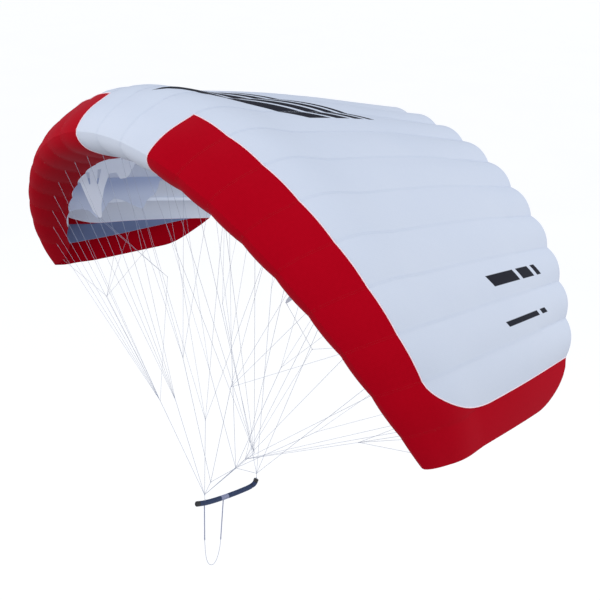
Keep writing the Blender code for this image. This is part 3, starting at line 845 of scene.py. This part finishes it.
# Name, place, target, size, watts and colour
LAMPS = (
    ("key", (5.5, 4.5, 3.6), (0.9, 0.4, 1.4), 4.0, 120.0, (1.0, 0.97, 0.95)),
    ("front", (0.2, -4.8, 3.4), (0.0, 0.2, 1.4), 3.0, 80.0, (1.0, 0.98, 0.96)),
    ("side", (-6.0, -2.0, 3.6), (-0.9, 0.2, 1.5), 3.0, 70.0, (1.0, 0.97, 0.98)),
)
FLOOR_HALF = 120.0
FLOOR_AT = -2.6


def aimed(thing, place, target):
    thing.location = place
    thing.rotation_mode = "QUATERNION"
    thing.rotation_quaternion = (Vector(target) - Vector(place)).to_track_quat("-Z", "Y")
    bpy.context.scene.collection.objects.link(thing)
    return thing


def camera():
    lens = bpy.data.cameras.new("view")
    lens.sensor_width = 36.0
    lens.lens = VIEW_LENS
    lens.clip_end = 500.0
    thing = bpy.data.objects.new("view", lens)
    bpy.context.scene.camera = aimed(thing, VIEW_FROM, VIEW_TO)


def lamp(name, place, target, size, watts, colour):
    light = bpy.data.lights.new(name, "AREA")
    light.shape = "DISK"
    light.size = size
    light.energy = watts
    light.color = colour
    aimed(bpy.data.objects.new(name, light), place, target)


def studio():
    scene = bpy.context.scene
    scene.view_settings.view_transform = "Standard"
    scene.world = bpy.data.worlds.new("soft sky")
    scene.world.use_nodes = True
    tree = Tree(scene.world.node_tree)
    sky = scene.world.node_tree.nodes["Background"]
    across, _, height = tree.split(tree.add("ShaderNodeTexCoord", out="Generated"))
    level = tree.mix(height.eased(*LEVEL_RISE), SKY_BELOW, SKY_LEVEL)
    level = tree.mix(height.eased(*ABOVE_RISE), level, SKY_ABOVE)
    lit = across.eased(*SHADE_ACROSS).most(height.eased(*SHADE_RISE))
    tree.feed(sky.inputs["Color"], tree.mix(lit, SKY_SHADED, level))
    sky.inputs["Strength"].default_value = SKY_STRENGTH
    for lighting in LAMPS:
        lamp(*lighting)
    mesh = bpy.data.meshes.new("floor")
    square = ((-1, -1), (1, -1), (1, 1), (-1, 1))
    corners = [(x * FLOOR_HALF, y * FLOOR_HALF, FLOOR_AT) for x, y in square]
    mesh.from_pydata(corners, [], [(0, 1, 2, 3)])
    floor = shown("floor", mesh, LOOKS["floor"])
    floor.visible_diffuse = False


camera()
studio()


# Skin ------------------------

GAP = 0.0004


def white_skin():
    """The top skin, with its centre nose. Its last cell's edge stands off the red tip cell."""
    cloth = Cloth()
    middle = np.linspace(-rib_span(9), rib_span(9), 3 * CELL_STEPS + 1)
    under = rows_from(0.0, SEAM_GIRTH, NOSE_STEPS)[:, :-1]
    over = rows_from(SEAM_GIRTH, TAIL_GIRTH, TOP_STEPS, hem=True)
    cloth.patch(middle, np.hstack([under, over]), (True, True))

    def beside_tip(s, g):
        share = (np.abs(s) - rib_span(2)) / (rib_span(1) - rib_span(2))
        return s - np.sign(s) * GAP / HALF_SPAN * share

    for side in (1, -1):
        spans = cell_spans(9, 2)
        first = seam_girth(spans) + GAP
        first[0] = SEAM_GIRTH
        cloth.patch(side * spans, rows_from(first, TAIL_GIRTH, TOP_STEPS, hem=True), (False, True))
        spans = corner_spans()
        girths = rows_from(seam_girth(spans) + GAP, TAIL_GIRTH, TOP_STEPS, hem=True)
        cloth.patch(side * spans, girths, (False, True), beside_tip)
    piece = cloth.finish("skin_white_cloth", LOOKS["white_cloth"], LOOKS["white_inside"])
    finished(piece, ["skin_white"])


def by_side(s, pair):
    """The value for the right wing tip or for the left one."""
    return np.where(s > 0, pair[1], pair[-1])


def tip_edge(s, g):
    """Span fractions of the tip cell, whose edge runs out or in and is rounded at nose and tail."""
    v = np.interp(g, GIRTH, PROFILE[:, 0])
    rounding, under = by_side(s, TIP_ROUND), by_side(s, NOSE_ROUND)
    tail = np.where(g > SEAM_GIRTH, np.maximum(0.0, (v - (1.0 - rounding)) / rounding), 0.0)
    beyond = np.maximum(tail, (under - g) / under)
    width = np.sqrt(np.maximum(0.0, 1.0 - beyond * beyond))
    share = (np.abs(s) - rib_span(1)) / (1.0 - rib_span(1))
    run_out = by_side(s, TIP_REACH) * (1.0 - v * v)
    return np.sign(s) * (rib_span(1) + share * width * (1.0 - rib_span(1) + run_out))


def red_skin(side, label):
    """The nose band of one side, its corner under the last white cell, and the tip cell."""
    cloth = Cloth()
    spans = cell_spans(9, 2)
    spans[0] += GAP / HALF_SPAN
    under = rows_from(0.0, SEAM_GIRTH, NOSE_STEPS)
    cloth.patch(side * spans, under, (True, False))
    under = under[:, :-1]
    spans = corner_spans()
    corner = rows_from(SEAM_GIRTH, seam_girth(spans), CORNER_STEPS)
    cloth.patch(side * spans, np.hstack([under.repeat(len(spans), 0), corner]), (True, False))
    end = seam_girth(rib_span(1))
    corner = rows_from(SEAM_GIRTH, end, CORNER_STEPS)[:, :-1]
    over = rows_from(end, TAIL_GIRTH, TOP_STEPS, hem=True)
    cloth.patch(side * cell_spans(1, 0), np.hstack([under, corner, over]), (True, True), tip_edge)
    piece = cloth.finish(f"skin_red_{label}_cloth", LOOKS["red_cloth"], LOOKS["red_inside"])
    finished(piece, [f"skin_red_{label}"])


white_skin()
for label, side in SIDES:
    red_skin(side, label)


# Ribs ------------------------

TAPE_DEPTH = 0.025
TAPE_TO = 0.93  # chord fraction
SEWN_STEPS = (40, 60)  # under the seam and over it
RIB_SINK = 0.0006  # into the space that is left for the rib, so that its edge meets the skin
HEM_GIRTH = 0.02
RIB_CORNER = 0.007
TAPE_END_GAP = 0.004
HOLLOW = 0.32  # a rib that covers less of its box than this is measured as a strip
NOSE_WEB = ((0.150, 0.030), (0.130, -0.020), (0.1235, -0.0330))
HIDDEN_EDGE = (
    (0.60, 0.008), (0.50, 0.030), (0.44, 0.000), (0.42, -0.012), (0.40, 0.000), (0.33, 0.025),
    (0.25, 0.005), (0.22, -0.020), (0.19, -0.010), (0.150, -0.014), (0.1235, -0.0330),
)
RIB_EDGES = {
    1: (0.88, (
        (0.80, 0.014), (0.588, -0.004), (0.395, -0.020), (0.277, -0.026), (0.150, -0.031), (0.1240, -0.0300),
    )),
    3: (0.56, (
        (0.530, 0.010), (0.500, -0.017), (0.477, -0.024), (0.457, -0.035), (0.420, -0.069), (0.410, -0.069),
        (0.388, -0.053), (0.350, -0.020), (0.321, -0.008), (0.287, -0.024), (0.244, -0.062), (0.223, -0.079),
        (0.213, -0.079), (0.203, -0.060), (0.194, -0.045), (0.174, -0.036), (0.147, -0.034),
        (0.1240, -0.0380),
    )),
    5: (0.37, (
        (0.343, 0.005), (0.303, -0.034), (0.290, -0.041), (0.268, -0.041), (0.262, -0.018), (0.236, -0.019),
        (0.202, -0.064), (0.174, -0.113), (0.162, -0.150), (0.1565, -0.1535), (0.151, -0.150),
        (0.140, -0.130), (0.134, -0.081), (0.130, -0.036), (0.1240, -0.0330),
    )),
    7: (0.66, HIDDEN_EDGE),
    9: (0.66, HIDDEN_EDGE),
}
TAPED = (3, 5, 7, 9)
FLARE_SLOTS = (
    ((0.159, -0.006), (0.171, -0.006), (0.161, -0.045), (0.157, -0.045)),
    ((0.202, -0.001), (0.215, -0.001), (0.187, -0.047), (0.183, -0.047)),
)
# Ribs 1 and 3 take copies of the rib cloth that carry painted shade.
RIB_LOOKS = {1: "slate_rib_cloth", 3: "blue_rib_cloth"}


def flat_rows(s, rows):
    """Chordwise and upward distances in metres of rows of chord and height fractions."""
    v, h = np.array(rows, float).T
    return np.stack([v, thinned(s, h)], -1) * section(s)[3]


def inset(points, depth):
    """A line of points moved to its right-hand side, which is inside the section."""
    run = unit(np.gradient(points, axis=0))
    return points + np.stack([run[:, 1], -run[:, 0]], -1) * np.reshape(depth, (-1, 1))


def filleted(points, radius, steps=4):
    """A line of points with its corners rounded off."""
    made = [points[:1]]
    share = np.linspace(0.0, 1.0, steps + 1)[:, None]
    for a, b, c in zip(points, points[1:], points[2:]):
        before, after = np.linalg.norm(a - b), np.linalg.norm(c - b)
        cut = min(radius, before / 2.2, after / 2.2)
        p, q = b + (a - b) / before * cut, b + (c - b) / after * cut
        made.append((1 - share) ** 2 * p + 2 * share * (1 - share) * b + share**2 * q)
    return np.vstack([*made, points[-1:]])


def rib_outline(rib):
    """The edge of a rib that is sewn to the skin and its free edge, in metres in the section's plane."""
    s = rib_span(rib)
    end, free = RIB_EDGES.get(rib, (0.20, NOSE_WEB))
    whole = rib in RIB_EDGES and rib not in TAPED
    last = girth_at(end if whole else TAPE_TO)
    under, over = SEWN_STEPS
    nose = np.linspace(0.0, SEAM_GIRTH, under)[:-1]
    girths = np.concatenate([nose, np.linspace(SEAM_GIRTH, last, over)])
    line = flat_profile(s, girths)
    sewn = inset(line, np.where(girths < HEM_GIRTH, HEM, SKIN) + RIB_CLEAR - RIB_SINK)
    free = filleted(flat_rows(s, free), RIB_CORNER)
    if whole:
        return sewn, free
    back = (girths > girth_at(end)) & (girths < last - TAPE_END_GAP)
    return sewn, np.vstack([inset(line, TAPE_DEPTH)[back][::-1], free])


def rib_piece(rib, side, label):
    s = side * rib_span(rib)
    sewn, free = rib_outline(rib)
    rings = [np.vstack([sewn, free])]
    if rib == 5:
        rings += [flat_rows(s, slot) for slot in FLARE_SLOTS]
    mesh = bmesh.new()
    flat = mesh.verts.layers.float_vector.new("flat")
    edges = []
    for ring in rings:
        corners = [mesh.verts.new(place) for place in in_section(s, ring)]
        for corner, place in zip(corners, ring):
            corner[flat] = (*place, 0.0)
        edges += [mesh.edges.new(pair) for pair in zip(corners, corners[1:] + corners[:1])]
    _, along, up, _ = section(s)
    bmesh.ops.triangle_fill(mesh, edges=edges, use_beauty=True, normal=Vector(np.cross(along, up)))
    mapped(mesh, flat)
    area = sum(face.calc_area() for face in mesh.faces)
    name = f"rib_{rib:02d}_{label}"
    data = bpy.data.meshes.new(name + "_cloth")
    mesh.to_mesh(data)
    mesh.free()
    look = RIB_LOOKS.get(rib, "rib_cloth")
    piece = shown(name + "_cloth", data, LOOKS[look])
    finished(thickened(piece, thickness=RIB_CLOTH, offset=0.0), [name])
    wide, tall = np.ptp(rings[0], axis=0)
    if area < HOLLOW * wide * tall:
        wide = float(np.linalg.norm(np.diff(sewn, axis=0), axis=1).sum())
        tall = area / wide
    return in_section(s, free)


# Seams ------------------------

STITCH_PITCH = 0.0072
STITCH_LENGTH = 0.0048
STITCH_LIFT = 0.0001
THREAD = 0.00026
RED_THREAD = 0.00018
RIB_THREAD = 0.0005
SEAM_ROWS = 0.0030  # from the seam to each row of stitches
HEM_ROW = 0.0100
PIPING = 0.0017
PIPING_LIFT = 0.0004
# How far rows stop short of the seams and hems, as girths, and of the ends of a hem, as span fractions
ROW_END = 0.004
HEM_END = 0.002
TAIL_ROW_END = 0.004
NOSE_ROW_END = 0.003
RED_ROW_TO = 0.985
NOSE_ROW_STEPS = 24
TOP_ROW_STEPS = 60
TAIL_HEM_STEPS = 300
NOSE_HEM_STEPS = 60
RED_HEM_STEPS = 160

CORD_SIDES = 8
CORD = cord_recipe()
STITCHES = stitch_recipe()


def seam_piping(side, label):
    """Pale piping in the seam between the red and the white cloth."""
    inner, tip = rib_span(9), rib_span(1)
    spans = np.concatenate([cell_spans(9, 2)[:-1], corner_spans()])
    under = np.linspace(0.0, SEAM_GIRTH, NOSE_ROW_STEPS)[:-1]
    over = np.linspace(seam_girth(tip), TAIL_GIRTH, TOP_ROW_STEPS)[1:]
    s = np.concatenate([np.full(len(under), inner), spans, np.full(len(over), tip)])
    g = np.concatenate([under, seam_girth(spans), over])
    seed = paths(f"piping_{label}", [skin(side * s, g, PIPING_LIFT)])
    name = f"seam_piping_{label}"
    piece = CORD.make(name, seed, Radius=PIPING, Sides=CORD_SIDES, Material=LOOKS["seam_tape"])
    finished(piece, [])


def sewn(name, lines, look, thread=THREAD):
    values = {"Pitch": STITCH_PITCH, "Length": STITCH_LENGTH, "Thread": thread, "Sides": 5}
    piece = STITCHES.make(name, paths(name, lines), Material=LOOKS[look], **values)
    finished(piece, [])


def seam_rows(s, girths):
    """Two rows of stitches beside a rib, along the skin."""
    return [skin(s + shift / HALF_SPAN, girths, STITCH_LIFT) for shift in (SEAM_ROWS, -SEAM_ROWS)]


def hem_row(spans, tail=False):
    """A row of stitches along the nose's hem or the tail's."""
    girth = HEM_ROW / section(spans)[3]
    return skin(spans, TAIL_GIRTH - girth if tail else girth, STITCH_LIFT)


UNDER_ROW = np.linspace(HEM_END, SEAM_GIRTH - ROW_END, NOSE_ROW_STEPS)
OVER_ROW = np.linspace(SEAM_GIRTH + ROW_END, TAIL_GIRTH - ROW_END, TOP_ROW_STEPS)


def white_stitches():
    lines = []
    for side in (1, -1):
        for rib in range(2, 11):
            start = seam_girth(rib_span(rib)) + ROW_END
            lines += seam_rows(side * rib_span(rib), np.maximum(OVER_ROW, start))
        lines += seam_rows(side * rib_span(10), UNDER_ROW)
    end = rib_span(1) - TAIL_ROW_END
    lines.append(hem_row(np.linspace(-end, end, TAIL_HEM_STEPS), tail=True))
    end = rib_span(9) - NOSE_ROW_END
    lines.append(hem_row(np.linspace(-end, end, NOSE_HEM_STEPS)))
    sewn("white_stitches", lines, "thread")


def red_stitches(side, label):
    lines = []
    for rib in range(1, 9):
        lines += seam_rows(side * rib_span(rib), UNDER_ROW)
    spans = np.linspace(rib_span(9) + NOSE_ROW_END, RED_ROW_TO, RED_HEM_STEPS)
    lines.append(hem_row(side * spans))
    sewn(f"red_stitches_{label}", lines, "red_thread", RED_THREAD)


def rib_stitches(label, edges):
    """A row along the free edge of each rib, through its cloth."""
    sewn(f"rib_stitches_{label}", edges, "thread", RIB_THREAD)


# Lines ------------------------

MAIN_LINE = 0.0009
FINE_LINE = 0.0006
LOOP_LENGTH = 0.008
LOOP_HALF = 0.0008
LOOP_PAST = 0.0004  # how far a loop reaches through the cloth
LOOP_POINTS = 15
LOOP_ROUNDNESS = 0.6
KNOT_SIZE = 0.85  # in line radii, as are the windings' radius and pitch
KNOT_DEPTH = 1.6
KNOT_STEPS = 36
WHIP_RADIUS = 1.3
BAR_WHIP_RADIUS = 1.4
WHIP_PITCH = 1.9
WHIP_TURNS = 4
WHIP_STEPS = 10  # to a turn
WHIP_FROM_LOOP = 0.004
WHIP_IN_BAR = 0.002
NOSE_HOLD = (0.062, -0.0250)
NOSE_HOLD_GIRTH = 0.0604
HOLDS = {
    ("A", 1): (0.220, -0.0282), ("A", 3): (0.218, -0.0790), ("A", 5): (0.1565, -0.1535),
    ("A", 7): (0.220, -0.0200), ("A", 9): (0.220, -0.0200),
    ("B", 1): (0.460, -0.0146), ("B", 3): (0.415, -0.0690), ("B", 5): (0.279, -0.0410),
    ("B", 7): (0.420, -0.0120), ("B", 9): (0.420, -0.0120),
    ("C", 1): (0.700, 0.0055), ("C", 7): (0.600, 0.0080), ("C", 9): (0.600, 0.0080),
}
TAPE_HOLDS = {"C": 0.625, "D": 0.875}  # share of the way from the nose seam to the tail
TIP_HOLDS = {"T": 0.45, "U": 0.70}  # chord fractions
TIP_HOLD_BELOW = 0.0015
FEET = {
    "front": (0.000, -0.114, 0.093),
    "upper": (0.000, -0.073, 0.144),
    "rear": (0.000, 0.084, 0.132),
    "end": (0.000, 0.218, 0.013),
}
KNOTS = {
    "outer": (0.301, -0.108, 0.483),
    "inner": (0.279, -0.037, 0.461),
    "middle": (0.000, -0.076, 0.511),
    "belly": (0.164, -0.052, 0.757),
    "tip": (0.830, -0.016, 0.817),
    "flare": (0.472, 0.117, 1.000),
    "back": (0.170, 0.238, 0.721),
    "side": (0.377, 0.251, 0.465),
    "tail": (0.180, 0.520, 0.900),
    "corner": (0.520, 0.480, 0.700),
}
MAINS = {
    "front": ("outer", "inner", "middle"),
    "upper": ("belly",),
    "rear": ("side", "back"),
    "end": ("tail", "corner"),
}
FANS = {
    "outer": ("N1", "N2", "N3", "N4", "N5", "A1", "tip", "flare"),
    "inner": ("N6", "N7", "N8", "N9", "N10"),
    "middle": ("A7", "A9"),
    "belly": ("B3", "B5", "B7", "B9"),
    "tip": ("N0", "T0", "U0", "B1"),
    "flare": ("A5", "A3"),
    "back": ("C5", "C7", "C9"),
    "side": ("C1", "C3"),
    "tail": ("D7", "D9"),
    "corner": ("D3", "D5"),
}
FOOT_LINKS = {"upper": ("front",), "rear": ("front", "upper", "end")}
BAR_TIES = {"front": ((-0.115, 0.0575), (-0.118, 0.044)), "end": ((0.217, -0.0075), (0.212, -0.0290))}


def wing_point(s, v, h):
    return in_section(s, flat_rows(s, ((v, h),)))[0]


def hold(letter, rib, side):
    """Where a line meets the wing."""
    s = side * rib_span(rib)
    if letter == "N":
        if rib == 0:
            s = float(tip_edge(s, NOSE_HOLD_GIRTH))
        return wing_point(s, *NOSE_HOLD)
    if letter in TIP_HOLDS:
        v = TIP_HOLDS[letter]
        return wing_point(float(tip_edge(s, girth_at(v))), v, top_height(v) - TIP_HOLD_BELOW)
    if (letter, rib) in HOLDS:
        return wing_point(s, *HOLDS[letter, rib])
    v = SEAM_CHORD + (1.0 - SEAM_CHORD) * TAPE_HOLDS[letter]
    place = flat_rows(s, ((v, top_height(v)),))[0] - (0.0, RIB_CLEAR + TAPE_DEPTH)
    return in_section(s, [place])[0]


def knot(name, side):
    x, y, z = FEET.get(name) or KNOTS[name]
    return np.array([side * x, y, z])


def square_to(run):
    """Two directions square to a run and to each other."""
    across = unit(np.cross(run, (0.3, 0.9, 0.1)))
    return across, np.cross(run, across)


def whipping(start, run, line, radius):
    """A winding round a straight run of line; its radius is in line radii."""
    across, other = square_to(run)
    turn = np.linspace(0.0, WHIP_TURNS * TURN, WHIP_TURNS * WHIP_STEPS + 1)[:, None]
    around = np.cos(turn) * across + np.sin(turn) * other
    return start + run * turn / TURN * (line * WHIP_PITCH) + line * radius * around


def overhand(centre, size):
    """The path of a pulled-tight overhand knot."""
    turn = np.linspace(0.0, TURN, KNOT_STEPS + 1)
    x = np.sin(turn) + 2 * np.sin(2 * turn)
    y = np.cos(turn) - 2 * np.cos(2 * turn)
    return centre + np.stack([x, y, -KNOT_DEPTH * np.sin(3 * turn)], -1) * size


def ended(centre, place, radius):
    """A line from a knot to the cloth, which ends in a whipped loop through it."""
    run = unit(place - centre)
    across, _ = square_to(run)
    base = place - run * LOOP_LENGTH
    share = np.linspace(0.0, 1.0, LOOP_POINTS)[:, None]
    wide = np.sin(share * TURN) * LOOP_HALF
    deep = np.sin(share * math.pi) ** LOOP_ROUNDNESS * (LOOP_LENGTH + LOOP_PAST)
    bight = base + run * deep + across * wide
    start = base - run * WHIP_FROM_LOOP
    return [np.vstack([[centre], bight]), whipping(start, run, radius, WHIP_RADIUS)]


def corded(name, lines, radius, sides=CORD_SIDES):
    seed = paths(name, lines)
    piece = CORD.make(name + "_cord", seed, Radius=radius, Sides=sides, Material=LOOKS["line_cord"])
    finished(piece, [name])


def line_set(name, centre, lines, radius):
    corded(name, [overhand(centre, radius * KNOT_SIZE), *lines], radius)


def bar_tie(centre, tie):
    """A line down into the bar, whipped where it comes out of the foam."""
    above, middle = in_plane(tie)
    out = unit(above - middle)
    mouth = middle + out * BAR_RADIUS
    line = np.array([centre, above, mouth - out * WHIP_IN_BAR])
    return [line, whipping(mouth, out, MAIN_LINE, BAR_WHIP_RADIUS)]


def bridle():
    for foot, mains in MAINS.items():
        centre = knot(foot, 1)
        lines = []
        for main in mains:
            sides = (1,) if KNOTS[main][0] == 0 else (1, -1)
            lines += [np.array([centre, knot(main, side)]) for side in sides]
        lines += [np.array([centre, knot(other, 1)]) for other in FOOT_LINKS.get(foot, ())]
        if foot in BAR_TIES:
            lines += bar_tie(centre, BAR_TIES[foot])
        line_set(f"lines_from_{foot}", centre, lines, MAIN_LINE)
    for name, places in FANS.items():
        if KNOTS[name][0] == 0:
            both = fan(name, places, 1) + fan(name, places, -1)
            line_set(f"lines_{name}", knot(name, 1), both, FINE_LINE)
            continue
        for label, side in SIDES:
            line_set(f"lines_{name}_{label}", knot(name, side), fan(name, places, side), FINE_LINE)


def fan(name, places, side):
    centre = knot(name, side)
    lines = []
    for place in places:
        if place in KNOTS:
            lines.append(np.array([centre, knot(place, side)]))
        else:
            lines += ended(centre, hold(place[0], int(place[1:]), side), FINE_LINE)
    return lines


# Bar and loop ------------------------

BAR_RADIUS = 0.0125
CAP_RADIUS = 0.0128
BAR_PATH = (
    (-0.165, 0.069), (-0.118, 0.044), (-0.070, 0.024), (0.000, 0.000), (0.070, -0.021), (0.123, -0.035),
    (0.170, -0.045), (0.200, -0.043), (0.216, -0.022),
)
BAR_STEPS = 12
LEG_STEPS = 6
LOOP_STEPS = 10
GRIP_STEP = 0.003
BAND_STEPS = 72
MARK_STEPS = 8
BAR_SIDES = 28
LEG_SLEEVE_STEPS = 120
LEG_SIDES = 16
BEND_STEP = 0.002  # each way along a path, to find which way it runs
RIM = 0.0008
CAP_LENGTH = 0.0165
# A cap from its lip to its dished end, as shares of its length and radius
CAP_SHAPE = (
    (0.0, 0.92), (0.02, 0.97), (0.05, 1.0), (0.30, 1.0), (0.34, 0.965), (0.40, 0.965), (0.44, 1.0),
    (0.84, 1.0), (0.92, 0.975), (0.97, 0.93), (1.0, 0.86), (1.0, 0.66), (0.985, 0.60), (0.93, 0.57),
    (0.92, 0.20),
)
BAND_HALF = 0.024
WRAP_PITCH = 0.008
WRAP_DEPTH = 0.00035
MARK_FROM_END = 0.052
MARK_LENGTH = 0.008
JOINT = 0.0002
LEG_RADIUS = 0.0026
LEG_WHIP_DEPTH = 0.0004
LEG_WHIP = (0.014, 0.003)  # where it starts and ends, from the leg's lower end
LOOP_RADIUS = 0.0012
LEG_FRONT = ((-0.120, 0.0330), (-0.136, -0.185))
LEG_REAR = ((-0.005, -0.0100), (-0.0385, -0.255))
LOOP_BOTTOM = (
    (-0.1375, -0.270), (-0.1330, -0.325), (-0.1210, -0.364), (-0.1000, -0.3835), (-0.0790, -0.3755),
    (-0.0620, -0.345), (-0.0480, -0.305),
)


def in_plane(points):
    return np.array([(0.0, y, z) for y, z in points])


class Rod:
    """Turned pieces along a path in the plane x = 0."""

    def __init__(self, path):
        self.path = path
        self.reach = reached(path)
        self.length = self.reach[-1]

    def at(self, distance):
        return np.array([np.interp(distance, self.reach, self.path[:, axis]) for axis in range(3)])

    def turned(self, stations, sides):
        """A body through rings at (distance along the path, radius)."""
        angle = np.linspace(0.0, TURN, sides, endpoint=False)[:, None]
        rings = []
        for distance, radius in stations:
            run = unit(self.at(distance + BEND_STEP) - self.at(distance - BEND_STEP))
            across = np.array([1.0, 0.0, 0.0])
            other = np.cross(run, across)
            rings.append(self.at(distance) + radius * (np.cos(angle) * across + np.sin(angle) * other))
        widest = max(radius for _, radius in stations)
        around = np.linspace(0.0, TURN * widest, sides + 1)
        return tube_mesh(np.array(rings), around, reached(np.array(stations)))

    def part(self, node, kind, stations, look, sides=BAR_SIDES):
        """Makes the piece that stands for a CAD node."""
        finished(rod_piece(f"{node}_{kind}", self.turned(stations, sides), LOOKS[look]), [node])


def sleeve(first, last, radius, steps, relief=None):
    """Stations of a plain sleeve with rounded rims; relief gives its radius's change along it."""
    share = np.sin(np.linspace(0.0, math.pi / 2, 5))
    rim = [(first + RIM * (1 - math.sqrt(1 - a * a)), radius - RIM * (1 - a)) for a in share[:-1]]
    along = np.linspace(first + RIM, last - RIM, steps)
    body = [(place, radius + (relief(place - first) if relief else 0.0)) for place in along]
    return rim + body + [(first + last - place, r) for place, r in reversed(rim)]


def band(first, last, steps, relief=None):
    """Stations of a part of the bar, with a joint at both of its ends."""
    return sleeve(first + JOINT, last - JOINT, BAR_RADIUS, steps, relief)


def wrap(along):
    """The grooves between the turns of the centre band."""
    return -WRAP_DEPTH * abs(math.sin(along * math.pi / WRAP_PITCH)) ** 6


def whip(length):
    """The relief of a leg, which is thicker where it is whipped, near its lower end."""
    first, last = (length - place for place in LEG_WHIP)
    return lambda along: LEG_WHIP_DEPTH if first < along < last else 0.0


def cap(lip, way):
    """Stations of an end cap: a lip towards the grip, a rounded rim and a dished end."""
    length = way * (CAP_LENGTH - JOINT)
    return [(lip + length * share, CAP_RADIUS * radius) for share, radius in CAP_SHAPE]


def bar():
    rod = Rod(in_plane(rounded(BAR_PATH, BAR_STEPS)))
    middle = float(rod.reach[3 * BAR_STEPS])
    ring = rod.length - MARK_FROM_END
    grips = (
        ("bar_front_grip", CAP_LENGTH, middle - BAND_HALF),
        ("bar_rear_grip", middle + BAND_HALF, ring),
        ("bar_end_grip", ring + MARK_LENGTH, rod.length - CAP_LENGTH),
    )
    for name, first, last in grips:
        rod.part(name, "foam", band(first, last, max(12, int((last - first) / GRIP_STEP))), "grip_foam")
    centre = band(middle - BAND_HALF, middle + BAND_HALF, BAND_STEPS, wrap)
    rod.part("bar_centre_band", "wrap", centre, "centre_band")
    rod.part("bar_mark", "ring", band(ring, ring + MARK_LENGTH, MARK_STEPS), "mark")
    rod.part("bar_front_cap", "rubber", cap(CAP_LENGTH - JOINT, -1), "end_cap")
    rod.part("bar_rear_cap", "rubber", cap(rod.length - CAP_LENGTH + JOINT, 1), "end_cap")


def loop():
    for name, ends in (("loop_leg_front", LEG_FRONT), ("loop_leg_rear", LEG_REAR)):
        rod = Rod(rounded(in_plane(ends), LEG_STEPS))
        leg = sleeve(0.0, rod.length, LEG_RADIUS, LEG_SLEEVE_STEPS, whip(rod.length))
        rod.part(name, "sleeve", leg, "webbing", LEG_SIDES)
    path = rounded(in_plane((LEG_FRONT[1], *LOOP_BOTTOM, LEG_REAR[1])), LOOP_STEPS)
    corded("loop_line", [path], LOOP_RADIUS, sides=12)


for label, side in SIDES:
    edges = [rib_piece(rib, side, label) for rib in range(1, 11)]
    seam_piping(side, label)
    red_stitches(side, label)
    rib_stitches(label, edges)
white_stitches()
bridle()
bar()
loop()
